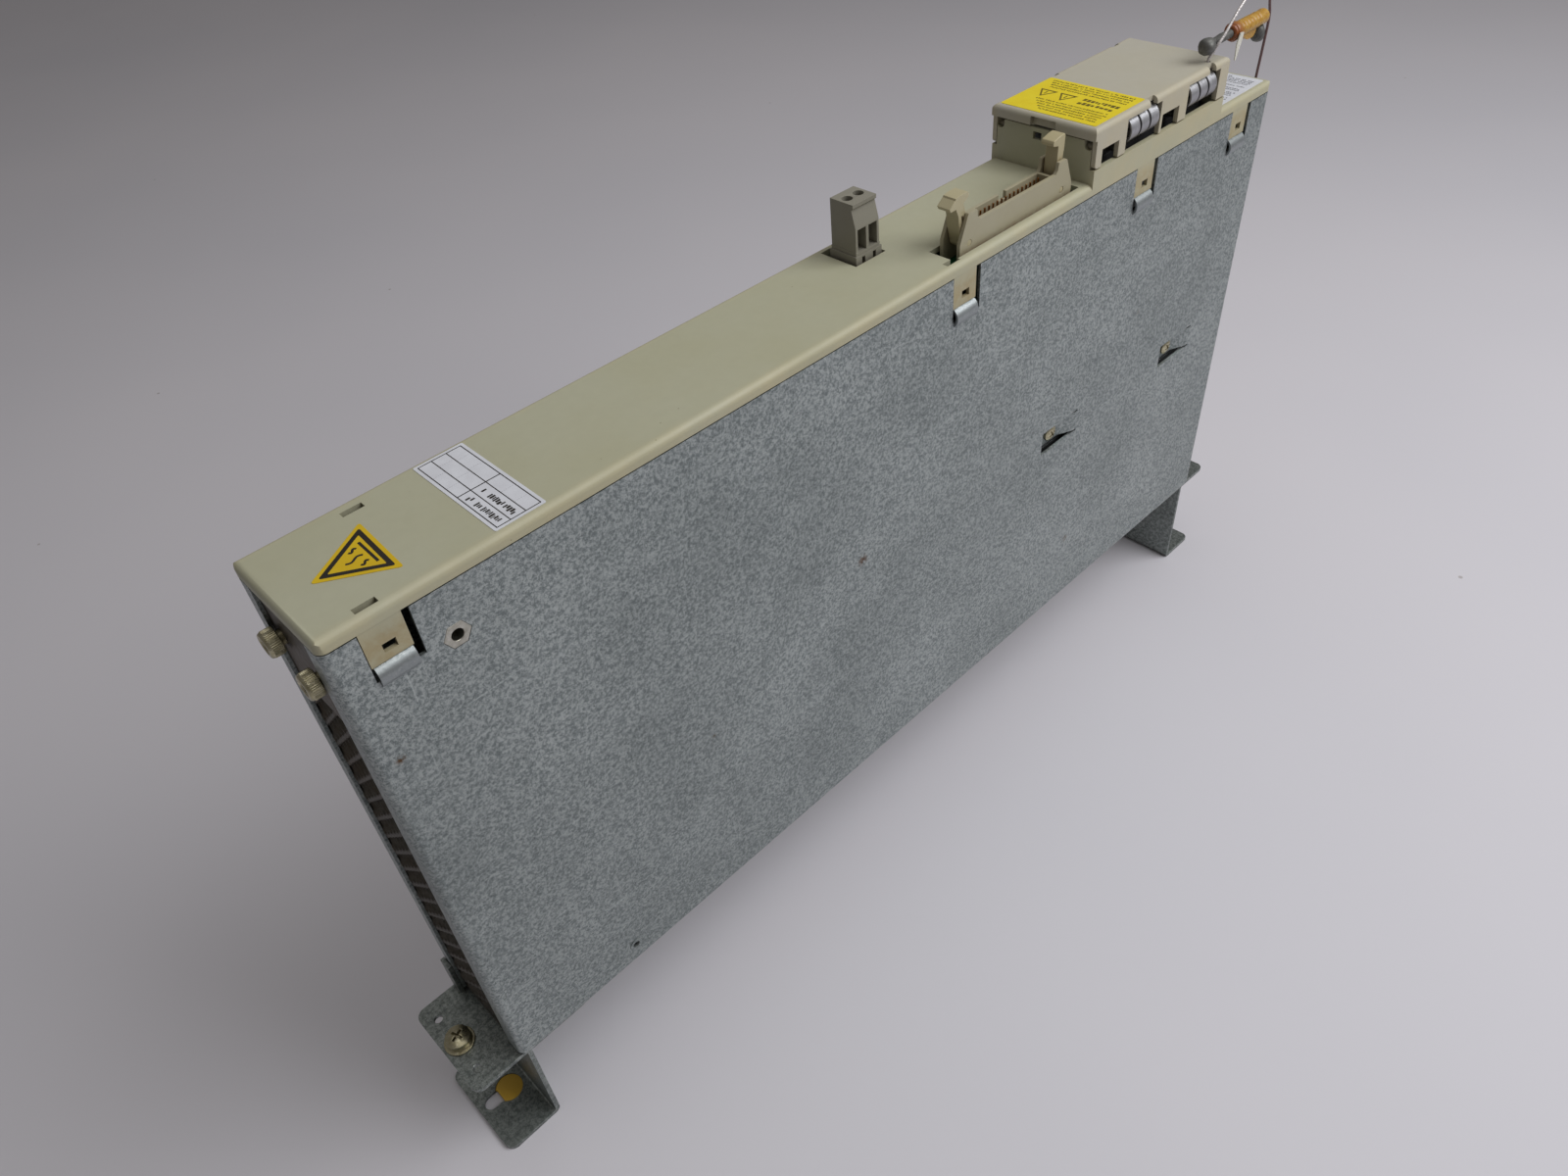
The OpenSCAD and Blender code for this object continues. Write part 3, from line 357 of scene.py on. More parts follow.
M["label_white"] = paper("label_white", srgb(212, 214, 220), srgb(198, 199, 205))
M["label_yellow"] = paper("label_yellow", srgb(226, 206, 34), srgb(218, 194, 26), 0.36)
M["label_amber"] = paper("label_amber", srgb(208, 176, 28), srgb(198, 164, 22), 0.34)
M["ink_black"] = paper("ink_black", srgb(34, 30, 26), srgb(44, 38, 30), 0.4)
M["ink_grey"] = paper("ink_grey", srgb(84, 84, 92), srgb(100, 100, 108), 0.5)
M["ink_faint"] = paper("ink_faint", srgb(150, 150, 156), srgb(164, 164, 170), 0.5)
M["ink_olive"] = paper("ink_olive", srgb(92, 80, 18), srgb(110, 96, 22), 0.5)

SLOT = {}
for s in frame["record"].get("subparts", []):
    SLOT[s["node"] if "node" in s else s["name"]] = s.get("material_slot")

# ---------------------------------------------------------------- CAD nodes: edges and materials
BEVEL = {  # node: (edge radius in mm, segments)
    "near_side_panel": (0.25, 2), "chassis": (0.25, 2), "front_cover": (0.28, 2), "busbar_lid": (0.35, 2),
    "busbar_plus": (0.3, 2), "busbar_minus": (0.3, 2), "link_spring_plus": (0.32, 3), "link_spring_minus": (0.32, 3),
    "bus_insulator": (0.4, 2), "header_body": (0.28, 2), "header_pins": (0.12, 1), "latch_left": (0.4, 3),
    "latch_right": (0.4, 3), "terminal_plug": (0.25, 2), "terminal_socket": (0.25, 2), "terminal_screw_1": (0.15, 2),
    "terminal_screw_2": (0.15, 2), "clamp_cage_1": (0.15, 2), "clamp_cage_2": (0.15, 2), "top_bracket": (0.3, 2),
    "bottom_bracket": (0.3, 2), "top_tab": (0.3, 2), "bottom_tab": (0.3, 2), "bracket_rivets": (0.3, 2),
    "earth_screws": (0.15, 2), "earth_washers": (0.2, 2), "keyhole_plug": (0.25, 2), "panel_insert": (0.25, 2),
    "side_screws": (0.15, 2), "heatsink": (0.3, 1), "power_modules": (0.5, 2), "main_board": (0.1, 1),
    "resistor_brackets": (0.2, 1), "dc_capacitors": (0.8, 3), "front_board": (0.1, 1), "front_board_posts": (0.3, 1),
}


def soften(o, width, segs):
    """Rounds a CAD node's edges with modifiers alone; its own vertices stay as they are."""
    me = o.data
    for a in ("custom_normal", "sharp_edge", "sharp_face"):
        if a in me.attributes:
            me.attributes.remove(me.attributes[a])
    me.polygons.foreach_set("use_smooth", [True] * len(me.polygons))
    w = o.modifiers.new("weld", "WELD")
    w.merge_threshold = 2e-6
    d = o.modifiers.new("flat", "DECIMATE")
    d.decimate_type = "DISSOLVE"
    d.angle_limit = math.radians(0.6)
    b = o.modifiers.new("edge", "BEVEL")
    b.width = width * MM
    b.segments = segs
    b.limit_method = "ANGLE"
    b.angle_limit = math.radians(38)
    b.use_clamp_overlap = True
    b.miter_outer = "MITER_ARC"
    t = o.modifiers.new("tri", "TRIANGULATE")
    t.keep_custom_normals = True
    n = o.modifiers.new("shade", "WEIGHTED_NORMAL")
    n.weight = 60
    n.keep_sharp = True


for name, o in N.items():
    slot = SLOT.get(name)
    mat = M.get(slot)
    if mat is None:
        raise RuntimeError(f"no look for slot {slot!r} of {name}")
    o.data.materials.clear()
    o.data.materials.append(mat)
    for p in o.data.polygons:
        p.material_index = 0
    if name in BEVEL:
        soften(o, *BEVEL[name])


# ---------------------------------------------------------------- mesh helpers
def finish_piece(bm, name, mats, body, nodes=(), smooth=True, angle=35):
    me = bpy.data.meshes.new(name)
    bmesh.ops.recalc_face_normals(bm, faces=bm.faces[:])
    bm.to_mesh(me)
    bm.free()
    for m_ in mats:
        me.materials.append(m_)
    me.polygons.foreach_set("use_smooth", [smooth] * len(me.polygons))
    if smooth:
        me.set_sharp_from_angle(angle=math.radians(angle))
    o = bpy.data.objects.new(name, me)
    bpy.context.scene.collection.objects.link(o)
    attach(o, body)
    if nodes:
        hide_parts(*nodes)
    return o


def prism(bm, pts, z0, z1, mi=0, at=lambda x, y, z: (x, y, z)):
    """A closed prism over a polygon given in millimetres."""
    lo = [bm.verts.new([v * MM for v in at(x, y, z0)]) for x, y in pts]
    hi = [bm.verts.new([v * MM for v in at(x, y, z1)]) for x, y in pts]
    fs = [bm.faces.new(lo[::-1]), bm.faces.new(hi)]
    k = len(pts)
    for i in range(k):
        fs.append(bm.faces.new((lo[i], lo[(i + 1) % k], hi[(i + 1) % k], hi[i])))
    for f in fs:
        f.material_index = mi
    return fs


def rrect(x0, x1, y0, y1, r, n=5):
    pts = []
    for cx, cy, a0 in ((x1 - r, y1 - r, 0), (x0 + r, y1 - r, 90), (x0 + r, y0 + r, 180), (x1 - r, y0 + r, 270)):
        for i in range(n + 1):
            a = math.radians(a0 + 90 * i / n)
            pts.append((cx + r * math.cos(a), cy + r * math.sin(a)))
    return pts


def round_poly(pts, r, n=4):
    """The polygon with each corner turned into an arc of about radius r."""
    out = []
    k = len(pts)
    for i in range(k):
        p, q, s = Vector(pts[i - 1]), Vector(pts[i]), Vector(pts[(i + 1) % k])
        a, b = (p - q), (s - q)
        t = min(r, a.length * 0.45, b.length * 0.45)
        a, b = q + a.normalized() * t, q + b.normalized() * t
        for j in range(n + 1):
            u = j / n
            out.append(tuple(a * (1 - u) ** 2 + q * 2 * u * (1 - u) + b * u ** 2))
    return out


def stroke(pts, w):
    """Outline of a line of width w through the points, flat ends."""
    left, right = [], []
    for i, p in enumerate(pts):
        a = Vector(pts[max(i - 1, 0)])
        b = Vector(pts[min(i + 1, len(pts) - 1)])
        t = (b - a).normalized()
        nrm = Vector((-t.y, t.x)) * w / 2
        left.append(tuple(Vector(p) + nrm))
        right.append(tuple(Vector(p) - nrm))
    return left, right


def ink_stroke(bm, pts, w, z0, z1, mi):
    l, r = stroke(pts, w)
    for i in range(len(pts) - 1):
        prism(bm, [l[i], l[i + 1], r[i + 1], r[i]], z0, z1, mi)


def ink_rect(bm, x0, x1, y0, y1, z0, z1, mi):
    prism(bm, [(x0, y0), (x1, y0), (x1, y1), (x0, y1)], z0, z1, mi)


def ink_ring(bm, outer, inner, z0, z1, mi):
    k = len(outer)
    for i in range(k):
        j = (i + 1) % k
        prism(bm, [outer[i], outer[j], inner[j], inner[i]], z0, z1, mi)


def marks(bm, x, h, y0, y1, rnd, z0, z1, mi, gap=0.28, wmin=0.25, wmax=0.9, word=0.16):
    """One row of small illegible marks, running along Y."""
    y = y0
    s = 1 if y1 > y0 else -1
    while (y1 - y) * s > wmax:
        w = rnd.uniform(wmin, wmax)
        hh = h * rnd.uniform(0.62, 1.0)
        off = (h - hh) * rnd.choice((0, 0.5, 1))
        ink_rect(bm, x + off, x + off + hh, min(y, y + s * w), max(y, y + s * w), z0, z1, mi)
        y += s * (w + gap + (rnd.uniform(0.4, 0.9) if rnd.random() < word else 0))


ZC, ZL = 288.0, 310.3
LT = 0.15
TOP = LT + 0.02

# ---------------------------------------------------------------- labels
rnd = random.Random(11)
bm = bmesh.new()
prism(bm, rrect(99.8, 134.2, -22.6, 22.6, 0.8), ZL, ZL + LT, 0)
z0, z1 = ZL + LT - 0.02, ZL + TOP
for i, x in enumerate((131.2, 129.0, 126.8, 124.6)):
    marks(bm, x, 1.15, 19.5 - i * 1.0, -20.5, rnd, z0, z1, 1)
for cy in (14.2, 4.6):  # plain outline triangles
    tri = [(121.8, cy + 4.2), (121.8, cy - 4.2), (114.4, cy)]
    inn = [(120.9, cy + 2.9), (120.9, cy - 2.9), (115.8, cy)]
    ink_ring(bm, tri, inn, z0, z1, 1)
    ink_rect(bm, 117.6, 120.2, cy - 0.28, cy + 0.28, z0, z1, 1)
for x in (119.2, 115.3):
    marks(bm, x, 2.5, -3.0, -20.5, rnd, z0, z1, 1, gap=0.42, wmin=0.9, wmax=1.9, word=0.1)
for i, x in enumerate((111.6, 109.4, 107.2, 105.0, 102.8)):
    marks(bm, x, 1.15, 14.0 - i * 1.8, -20.8, rnd, z0, z1, 1)
danger = finish_piece(bm, "danger_label_print", [M["label_yellow"], M["ink_olive"]], "lid", ["danger_label"], smooth=False)

bm = bmesh.new()
tri0 = [(-206.6, 11.6), (-207.8, -15.6), (-229.0, -2.2)]
prism(bm, round_poly(tri0, 1.4), ZC, ZC + LT, 0)


def inset(tri, d):
    c = sum((Vector(p) for p in tri), Vector((0, 0))) / 3
    out = []
    for i in range(3):
        p, q, s = Vector(tri[i - 1]), Vector(tri[i]), Vector(tri[(i + 1) % 3])
        u, v = (p - q).normalized(), (s - q).normalized()
        half = math.acos(max(-1, min(1, u.dot(v)))) / 2
        out.append(tuple(q + (u + v).normalized() * d / math.sin(half)))
    return out


z0, z1 = ZC + LT - 0.02, ZC + TOP
ink_ring(bm, round_poly(inset(tri0, 1.25), 1.1), round_poly(inset(tri0, 2.75), 0.5), z0, z1, 1)
ink_stroke(bm, [(-211.2, 3.6), (-211.4, -8.0)], 0.9, z0, z1, 1)
for k, (yc, x_a, x_b) in enumerate(((1.5, -213.0, -215.5), (-2.3, -213.0, -218.4), (-5.7, -213.0, -215.5))):
    pts = []
    for i in range(15):
        u = i / 14
        pts.append((x_a + (x_b - x_a) * u, yc + 0.62 * math.sin(u * math.pi * 2.0)))
    ink_stroke(bm, pts, 0.8, z0, z1, 1)
finish_piece(bm, "hot_surface_label_print", [M["label_amber"], M["ink_black"]], "housing", ["hot_surface_label"], smooth=False)

bm = bmesh.new()
prism(bm, rrect(-182.8, -165.3, -22.5, 22.5, 0.6), ZC, ZC + LT, 0)
fr_o = [(-181.7, -21.5), (-166.4, -21.5), (-166.4, 21.5), (-181.7, 21.5)]
fr_i = [(-181.35, -21.15), (-166.75, -21.15), (-166.75, 21.15), (-181.35, 21.15)]
ink_ring(bm, fr_o, fr_i, z0, z1, 1)
for x in (-176.9, -171.7):
    ink_rect(bm, x - 0.17, x + 0.17, -21.2, 21.2, z0, z1, 1)
ink_rect(bm, -181.4, -166.7, -0.8, -0.4, z0, z1, 1)
for x0_, y_ in ((-181.2, 13.0), (-176.6, 7.6), (-171.4, 15.4), (-171.4, 8.8), (-176.6, 16.8), (-181.2, 5.4), (-171.4, -8.4), (-171.4, -15.2)):
    for q in range(6):
        ink_rect(bm, x0_ + q * 0.75, x0_ + q * 0.75 + 0.38, y_ - 0.06, y_ + 0.06, z0, z1, 2)
marks(bm, -180.6, 2.4, -3.2, -5.6, rnd, z0, z1, 1, gap=0.5, wmin=0.5, wmax=0.9)
marks(bm, -180.5, 2.2, -7.4, -20.4, rnd, z0, z1, 1, gap=0.30, wmin=0.35, wmax=0.85, word=0.12)
marks(bm, -175.5, 2.2, -3.4, -5.0, rnd, z0, z1, 1, gap=0.5, wmin=0.5, wmax=0.9)
marks(bm, -175.6, 2.3, -7.0, -20.0, rnd, z0, z1, 1, gap=0.25, wmin=0.5, wmax=1.0, word=0.04)
finish_piece(bm, "rating_label_print", [M["label_white"], M["ink_black"], M["ink_faint"]], "housing", ["rating_label"], smooth=False)

bm = bmesh.new()
prism(bm, rrect(197.5, 236.6, -22.5, 22.5, 0.8), ZC, ZC + LT, 0)
x = 233.6
while x > 199:
    marks(bm, x, 1.05, 20.6, rnd.uniform(-20.5, -2) if rnd.random() < 0.3 else -20.6, rnd, z0, z1, 1)
    x -= 1.7
finish_piece(bm, "info_label_print", [M["label_white"], M["ink_grey"]], "housing", ["info_label"], smooth=False)


# ---------------------------------------------------------------- expanded-metal end sheets
def grille(sign, name, node):
    """Plain plate above, expanded metal below: each strand is a twisted bar between two crossings."""
    bm = bmesh.new()
    xi, xo = 237.5, 238.7

    def at(y, z, x):
        return (sign * x, y, z)

    zlo, zhi = 58.5, 282.2
    ya, za, zb = 19.2, 62.0, 246.0
    hole = [(y, 266.3) for y in (-12, 12)]
    # border strips of the mesh field
    for a in ((-21.7, -ya, zlo, zhi), (ya, 21.7, zlo, zhi), (-ya, ya, zlo, za)):
        prism(bm, rrect(a[0], a[1], a[2], a[3], 0.05, 1), xi, xo, 0, at)
    # plain plate with the two round screw holes
    n = 32
    for s, (cy, cz) in zip((-1, 1), hole):
        y0, y1 = (-ya, 0.0) if s < 0 else (0.0, ya)
        ring = [(cy + 2.6 * math.cos(2 * math.pi * i / n), cz + 2.6 * math.sin(2 * math.pi * i / n)) for i in range(n)]
        sq = []
        for i in range(n):
            a = 2 * math.pi * i / n
            dx, dz = math.cos(a), math.sin(a)
            ts = []
            if abs(dx) > 1e-9:
                ts.append(((y1 if dx > 0 else y0) - cy) / dx)
            if abs(dz) > 1e-9:
                ts.append(((zhi if dz > 0 else zb) - cz) / dz)
            t = min(v for v in ts if v > 0)
            sq.append((cy + dx * t, cz + dz * t))
        for i in range(n):
            j = (i + 1) % n
            q = [ring[i], sq[i], sq[j], ring[j]]
            a0, a1 = math.atan2(sq[i][1] - cz, sq[i][0] - cy), math.atan2(sq[j][1] - cz, sq[j][0] - cy)
            for c in ((y0, zb), (y1, zb), (y0, zhi), (y1, zhi)):
                ca = math.atan2(c[1] - cz, c[0] - cy)
                lo_, hi_ = (a0, a1) if a1 > a0 else (a0, a1 + 2 * math.pi)
                if lo_ + 1e-6 < ca < hi_ - 1e-6 or lo_ + 1e-6 < ca + 2 * math.pi < hi_ - 1e-6:
                    q = [ring[i], sq[i], c, sq[j], ring[j]]
            prism(bm, q, xi, xo, 0, at)
    # strands
    pitch = 10.0
    w, t = 1.55, 1.15
    seg = 6
    rows = int((zb - za) / pitch * 2) + 2

    def strand(p, q, flip):
        d = Vector((q[0] - p[0], q[1] - p[1]))
        L = d.length
        d.normalize()
        nrm = Vector((-d.y, d.x))
        rings = []
        for i in range(seg + 1):
            u = i / seg
            c = Vector(p) + d * L * u
            tw = math.radians(26) * math.sin(math.pi * u) * flip
            out = 0.28 * math.cos(math.pi * u) * flip
            ring = []
            for a, b in ((-1, -1), (-0.55, -1.25), (0.55, -1.25), (1, -1), (1, 1), (0.55, 1.25), (-0.55, 1.25), (-1, 1)):
                v, h = a * w / 2 * (1 + 0.35 * abs(math.cos(math.pi * u)) ** 3), b * t / 2 / 1.25
                vv = v * math.cos(tw) - h * math.sin(tw)
                hh = v * math.sin(tw) + h * math.cos(tw)
                y, z = c + nrm * vv
                ring.append(bm.verts.new([k * MM for k in at(y, z, 238.1 + hh + out)]))
            rings.append(ring)
        k = len(rings[0])
        for a, b in zip(rings, rings[1:]):
            for i in range(k):
                bm.faces.new((a[i], a[(i + 1) % k], b[(i + 1) % k], b[i]))
        bm.faces.new(rings[0][::-1])
        bm.faces.new(rings[-1])

    def clip(p, q):
        (y0, z0), (y1, z1) = p, q
        if max(z0, z1) > zb + 0.2 or min(z0, z1) < za - 0.2:
            lo, hi = za - 0.2, zb + 0.2
            def cut(a, b, zz):
                u = (zz - a[1]) / (b[1] - a[1])
                return (a[0] + (b[0] - a[0]) * u, zz)
            if max(z0, z1) <= lo or min(z0, z1) >= hi:
                return None
            if z1 > z0:
                p2 = p if z0 >= lo else cut(p, q, lo)
                q2 = q if z1 <= hi else cut(p, q, hi)
            else:
                p2 = p if z0 <= hi else cut(p, q, hi)
                q2 = q if z1 >= lo else cut(p, q, lo)
            p, q = p2, q2
        if math.dist(p, q) < 0.8:
            return None
        return p, q

    zs = za - 0.5
    for r in range(-1, rows + 1):
        for c in range(-5, 5):
            y = c * pitch / 2
            z = zs + r * pitch / 2
            if (r + c) % 2:
                continue
            for sgn in (1, -1):
                p = (y, z)
                q = (y + pitch / 2, z + sgn * pitch / 2)
                if min(p[0], q[0]) < -20.1 or max(p[0], q[0]) > 20.1:
                    continue
                pq = clip(p, q)
                if pq:
                    strand(pq[0], pq[1], sgn)
    return finish_piece(bm, name, [M["end_mesh"]], "housing", [node], angle=30)


grille(-1, "top_grille_mesh", "top_grille")
grille(1, "bottom_grille_mesh", "bottom_grille")


# ---------------------------------------------------------------- knurled cap screws
def cap_screws():
    bm = bmesh.new()
    teeth = 44
    n = teeth * 4
    for s in (-1, 1):
        for cy in (-12.0, 12.0):
            cz = 266.3

            def ring(x, r, knurl=0.0):
                vs_ = []
                for i in range(n):
                    a = 2 * math.pi * i / n
                    k = (0, 1, 1, 0)[i % 4]
                    rr_ = r - knurl * (1 - k)
                    vs_.append(bm.verts.new((s * x * MM, (cy + rr_ * math.cos(a)) * MM, (cz + rr_ * math.sin(a)) * MM)))
                return vs_

            def hexring(x, r):
                vs_ = []
                for i in range(n):
                    a = 2 * math.pi * i / n
                    m_ = math.radians(60)
                    rr_ = r * math.cos(m_ / 2) / math.cos((a % m_) - m_ / 2)
                    vs_.append(bm.verts.new((s * x * MM, (cy + rr_ * math.cos(a)) * MM, (cz + rr_ * math.sin(a)) * MM)))
                return vs_

            rings = [ring(227.2, 1.6), ring(227.8, 2.3), ring(237.0, 2.4), ring(240.02, 2.4), ring(240.02, 3.9), ring(240.1, 4.18),
                     ring(240.3, 4.3, 0.0), ring(240.42, 4.4, 0.16), ring(243.35, 4.4, 0.16), ring(243.5, 4.25, 0.0),
                     ring(244.1, 4.05), ring(244.33, 3.8), ring(244.4, 3.45), ring(244.4, 2.75), ring(244.25, 2.62),
                     hexring(244.0, 2.42), hexring(241.3, 2.36)]
            for a, b in zip(rings, rings[1:]):
                for i in range(n):
                    bm.faces.new((a[i], a[(i + 1) % n], b[(i + 1) % n], b[i]))
            bm.faces.new(rings[0])
            tip = bm.verts.new((s * 240.9 * MM, cy * MM, cz * MM))
            last = rings[-1]
            for i in range(n):
                bm.faces.new((last[i], last[(i + 1) % n], tip))
    return finish_piece(bm, "knurled_cap_screws", [M["yellow_zinc"]], "housing", ["end_screws"], angle=32)


cap_screws()

# ---------------------------------------------------------------- seal: wire, barrel, crimp pellets
zl = ZL
route = [[184.8, -20.4, zl - 2.6], [184.8, -20.4, zl + 0.6], [185.6, -21.4, zl + 3.2], [186.2, -22.8, zl + 6.5],
  [189.5, -23.3, zl + 9.7], [192.7, -23.4, zl + 12.8], [197.8, -23.4, zl + 17.3], [203, -23.2, zl + 20.6], [210, -22.6, zl + 24.4], [218, -21.6, zl + 27],
  [226, -20, zl + 27.2], [233, -18, zl + 23.6], [238.6, -16.4, zl + 16.6], [242.2, -15.2, zl + 9.2],
  [244.8, -15, zl + 3.6], [245.4, -15, zl - 1.2], [245.2, -15, zl - 6], [244.5, -15.1, zl - 14], [243.7, -15.2, zl - 23],
  [243.6, -15.2, zl - 33]]
P = [Vector(p) * MM for p in route]


def catmull(P, n=6):
    out = []
    for i in range(len(P) - 1):
        p0, p1, p2, p3 = P[max(i - 1, 0)], P[i], P[i + 1], P[min(i + 2, len(P) - 1)]
        for j in range(n):
            u = j / n
            out.append(0.5 * ((2 * p1) + (p2 - p0) * u + (2 * p0 - 5 * p1 + 4 * p2 - p3) * u * u + (3 * p1 - p0 - 3 * p2 + p3) * u ** 3))
    out.append(P[-1])
    return out


line = catmull(P)
cu = bpy.data.curves.new("seal_wire_strand", "CURVE")
cu.dimensions = "3D"
cu.bevel_depth = 0.0006
cu.bevel_resolution = 3
cu.use_fill_caps = True
sp = cu.splines.new("POLY")
sp.points.add(len(line) - 1)
for q, p in zip(sp.points, line):
    q.co = (*p, 1)
wire = bpy.data.objects.new("seal_wire_strand", cu)
bpy.context.scene.collection.objects.link(wire)
wm = Mat("seal_strand", 0.3, 0.35, IOR=1.5)
tw = wm.noise(1.0, 2.0, 0.5, co=wm.stretch(1600, 1600, 2600, rot=(0.5, 0.3, 0)))
wc = wm.mix(wm.ramp(wm.axis(0), 0.206, 0.236), srgb(214, 208, 206), srgb(112, 82, 80))
wc = wm.mix(wm.ramp(tw, 0.35, 0.65, 0.0, 0.45), wc, srgb(92, 86, 88))
wm.bump(tw, 0.4, 0.0002)
cu.materials.append(wm.done(wc, wm.ramp(tw, 0.3, 0.7, 0.22, 0.4)))
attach(wire, "lid")
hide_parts("seal_wire")


def lathe_x(bm, prof, cy, cz, n=40, mi=0, wob=None):
    """Turned solid about an X axis from (x, radius) pairs, millimetres."""
    rings = []
    for x, r in prof:
        ring = []
        for i in range(n):
            a = 2 * math.pi * i / n
            rr_ = r * (1 + (wob(x, a) if wob else 0))
            ring.append(bm.verts.new((x * MM, (cy + rr_ * math.cos(a)) * MM, (cz + rr_ * math.sin(a)) * MM)))
        rings.append(ring)
    for a, b in zip(rings, rings[1:]):
        for i in range(n):
            f = bm.faces.new((a[i], a[(i + 1) % n], b[(i + 1) % n], b[i]))
            f.material_index = mi
    for ring, rev in ((rings[0], True), (rings[-1], False)):
        f = bm.faces.new(ring[::-1] if rev else ring)
        f.material_index = mi
    return rings


BY, ZB = -20.0, zl + 6.9
bm = bmesh.new()
prof = [(200.6, 2.2), (200.8, 2.9), (201.3, 3.25), (201.9, 3.3), (202.1, 3.6), (202.5, 3.78), (205.1, 3.78), (205.5, 3.6), (205.8, 3.15)]
x = 207.0
while x < 223.5:
    prof += [(x, 3.02), (x + 0.4, 3.2), (x + 1.3, 3.24), (x + 1.7, 3.06)]
    x += 2.4
prof += [(225.6, 3.1), (227.4, 3.24), (228.4, 3.05), (228.8, 2.6), (228.95, 2.0)]
lathe_x(bm, prof, BY, ZB, 40, 0, lambda x, a: 0.012 * math.sin(2 * a + x * 0.21) + 0.008 * math.sin(5 * a - x * 0.6))
flap = [(209.2, ZB - 2.6), (222.6, ZB - 2.6), (221.9, ZB - 5.2), (220.2, ZB - 6.4), (215.6, ZB - 6.3), (212.6, ZB - 4.6)]
prism(bm, [(x_, z_) for x_, z_ in round_poly(flap, 0.8, 3)], BY - 0.95, BY + 0.95, 0, lambda x_, z_, y_: (x_, y_, z_))
sy = Mat("seal_resin", 0.34, 0.0, IOR=1.5, Subsurface_Weight=0.15)
sy.b.inputs["Subsurface Radius"].default_value = (0.004, 0.002, 0.0006)
a1 = sy.noise(380, 4.0, 0.65)
c1 = sy.mix(sy.ramp(a1, 0.34, 0.66), srgb(170, 124, 42), srgb(184, 146, 68))
c1 = sy.mix(sy.ramp(sy.axis(0), 0.2095, 0.2015), c1, srgb(138, 76, 36))
# painted shade: creases of the seal darkened brown through the occlusion mask
c1 = sy.mix(sy.math("MULTIPLY", sy.crease(0.002, 0.3, 0.85), 0.5), c1, srgb(118, 64, 22))
sy.bump(a1, 0.3, 0.0004)
body_ = finish_piece(bm, "seal_barrel", [sy.done(c1, sy.ramp(a1, 0.3, 0.7, 0.26, 0.46))], "lid", ["seal_body"], angle=50)

bm = bmesh.new()
lump = lambda x, a: 0.03 * math.sin(3 * a + x) + 0.02 * math.sin(7 * a - 1.7 * x)
lathe_x(bm, [(179.5, 1.1), (179.8, 2.2), (180.5, 3.0), (181.6, 3.4), (183.2, 3.5), (184.3, 3.2), (184.9, 2.6), (185.15, 2.1)], BY, ZB - 0.4, 32, 0, lump)
lathe_x(bm, [(185.2, 1.8), (187.0, 1.85), (188.2, 1.6), (190.5, 1.75), (194.0, 1.9), (198.0, 1.8), (200.4, 1.9)], BY, ZB, 28, 0, lump)
lathe_x(bm, [(229.05, 1.9), (229.3, 2.3), (229.9, 2.35), (230.3, 1.6)], BY, ZB, 28, 0, lump)
rings = []
n = 30
for z, r in ((-9.95, 1.2), (-9.5, 2.1), (-8.6, 2.7), (-7.0, 2.9), (-5.4, 2.75), (-4.2, 2.2), (-3.3, 1.7)):
    rings.append([bm.verts.new(((226.6 + r * (1 + 0.03 * math.sin(3 * k)) * math.cos(2 * math.pi * k / n)) * MM,
                                (BY + r * (1 + 0.03 * math.sin(3 * k)) * math.sin(2 * math.pi * k / n)) * MM, (ZB + z) * MM)) for k in range(n)])
for a, b in zip(rings, rings[1:]):
    for k in range(n):
        bm.faces.new((a[k], a[(k + 1) % n], b[(k + 1) % n], b[k]))
bm.faces.new(rings[0][::-1])
bm.faces.new(rings[-1])
# crimped ferrule on the free end of the wire
n = 28
rings = []
for z, r in ((zl - 36.95, 1.1), (zl - 36.6, 1.8), (zl - 36.0, 2.1), (zl - 34.4, 1.95), (zl - 33.0, 2.1), (zl - 32.4, 1.8), (zl - 32.05, 1.0)):
    rings.append([bm.verts.new(((243.6 + r * math.cos(2 * math.pi * i / n) * (0.8 if abs(z - zl + 34.4) < 1 else 1)) * MM,
                                (-15.2 + r * math.sin(2 * math.pi * i / n)) * MM, z * MM)) for i in range(n)])
for a, b in zip(rings, rings[1:]):
    for i in range(n):
        bm.faces.new((a[i], a[(i + 1) % n], b[(i + 1) % n], b[i]))
bm.faces.new(rings[0][::-1])
bm.faces.new(rings[-1])
pel = finish_piece(bm, "seal_crimps", [M["seal_lead"]], "lid", ["seal_pellets"], angle=50)

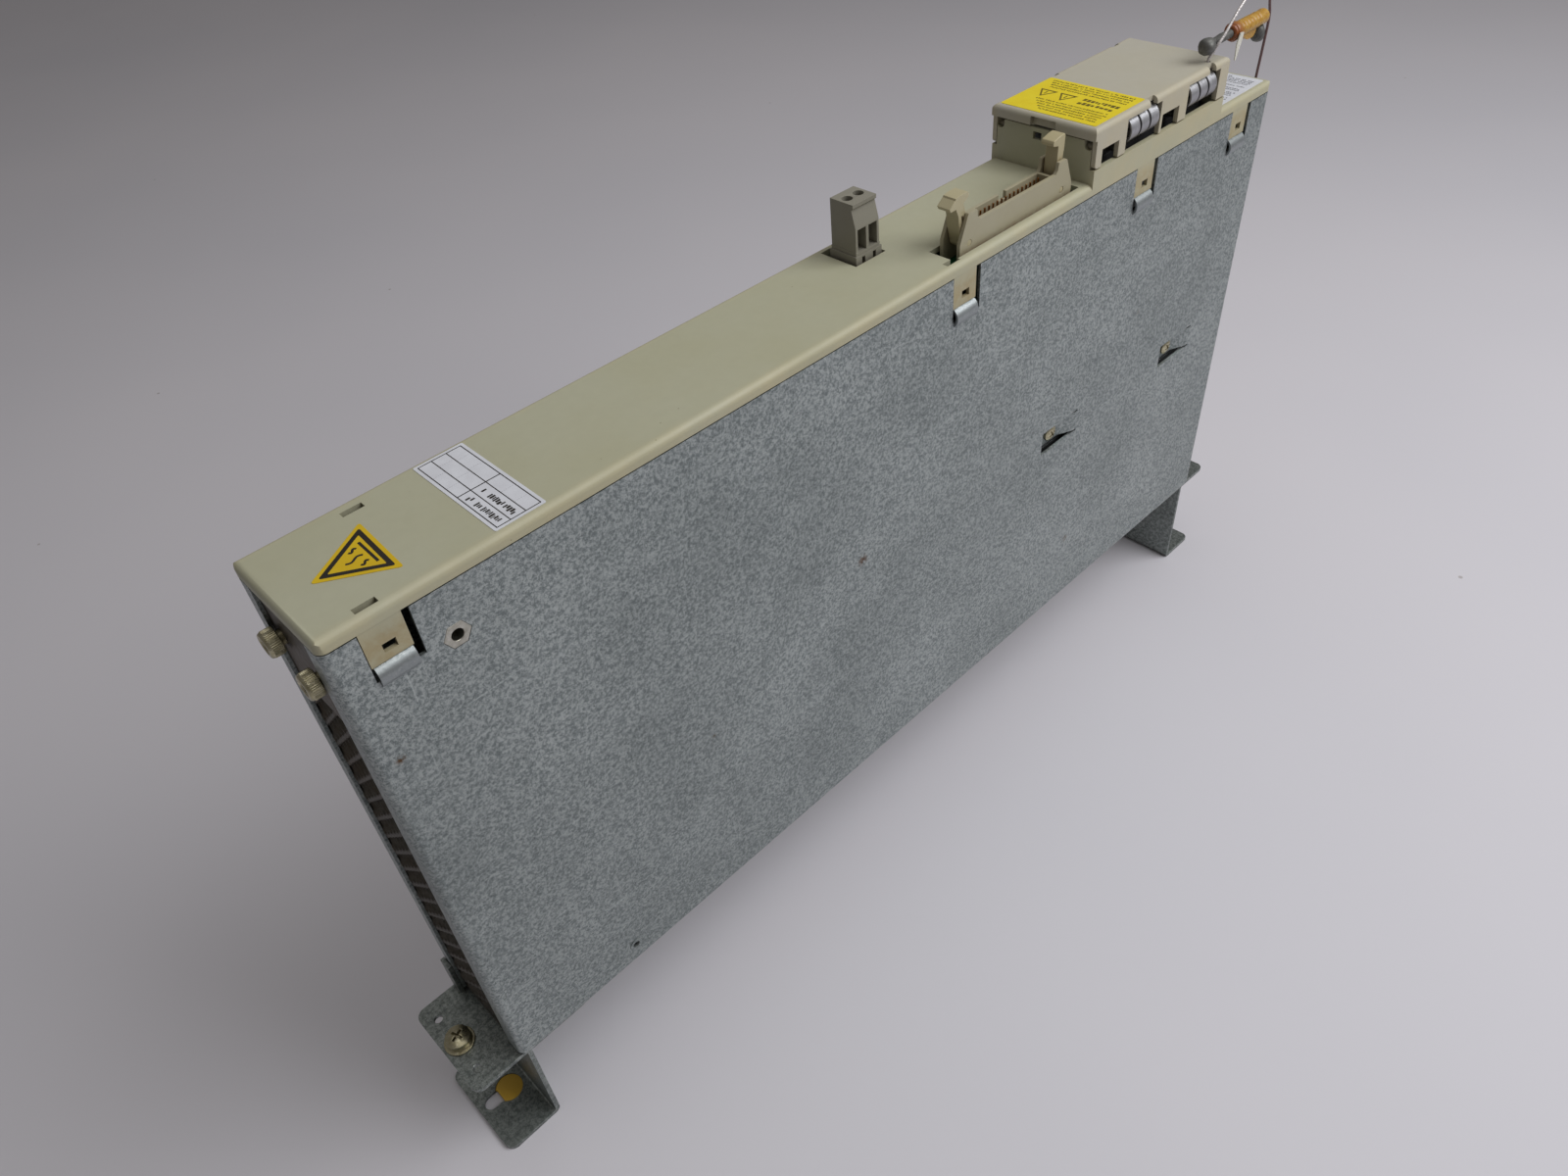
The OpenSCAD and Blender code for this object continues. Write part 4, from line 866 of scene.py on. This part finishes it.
# bright folded tag that hangs from the stem, in front of the barrel
bm = bmesh.new()
tag = [(200.4, ZB - 10.2), (201.2, ZB - 10.2), (203.4, ZB - 3.4), (204.4, ZB + 0.4), (201.6, ZB + 0.8), (199.9, ZB - 3.0)]
prism(bm, [(x_, z_) for x_, z_ in round_poly(tag, 0.35, 3)], BY - 4.5, BY - 4.05, 0, lambda x_, z_, y_: (x_, y_, z_))
tg = Mat("seal_tag_foil", 0.3, 0.25, IOR=1.5)
tn = tg.noise(900, 3.0, 0.6)
tg.bump(tn, 0.2, 0.0002)
finish_piece(bm, "seal_tag", [tg.done(tg.mix(tg.ramp(tn, 0.3, 0.7), srgb(236, 234, 222), srgb(206, 202, 186)), tg.ramp(tn, 0.3, 0.7, 0.2, 0.4))], "lid", ())

# ---------------------------------------------------------------- floor and light
bpy.ops.mesh.primitive_plane_add(size=12, location=(0, 0, 0))
floor = bpy.context.object
floor.name = "studio_floor"
fm = Mat("studio_paper", 0.62)
f1 = fm.noise(1.6, 3.0, 0.5)
f2 = fm.noise(700, 2.0, 0.6)
fc = fm.mix(fm.ramp(f1, 0.35, 0.65), srgb(214, 211, 216), srgb(208, 206, 212))
speck = fm.ramp(fm.voronoi(13), 0.012, 0.020, 1.0, 0.0)
fc = fm.mix(fm.math("MULTIPLY", speck, 0.45), fc, srgb(120, 104, 88))
fm.bump(f2, 0.03, 0.0001)
floor.data.materials.append(fm.done(fc))


def area(name, loc, target, size, power, col=(1, 1, 1), shape="SQUARE", size_y=None):
    d = bpy.data.lights.new(name, "AREA")
    d.energy = power
    d.color = col
    d.shape = "RECTANGLE" if size_y else shape
    d.size = size
    if size_y:
        d.size_y = size_y
    o = bpy.data.objects.new(name, d)
    bpy.context.scene.collection.objects.link(o)
    o.location = loc
    o.rotation_mode = "QUATERNION"
    o.rotation_quaternion = (Vector(target) - Vector(loc)).to_track_quat("-Z", "Y")
    return o


area("key_softbox", (0.60, -0.78, 1.15), (0.10, -0.15, 0.0), 1.0, 14.5, (0.97, 0.98, 1.0))
area("top_softbox", (0.05, -0.05, 1.6), (0.0, 0.0, 0.1), 1.3, 5.0, (1.0, 0.985, 0.965))
w = bpy.data.worlds.new("studio_air")
bpy.context.scene.world = w
w.use_nodes = True
bg = w.node_tree.nodes["Background"]
bg.inputs[0].default_value = (0.98, 0.94, 0.92, 1)
bg.inputs[1].default_value = 0.17
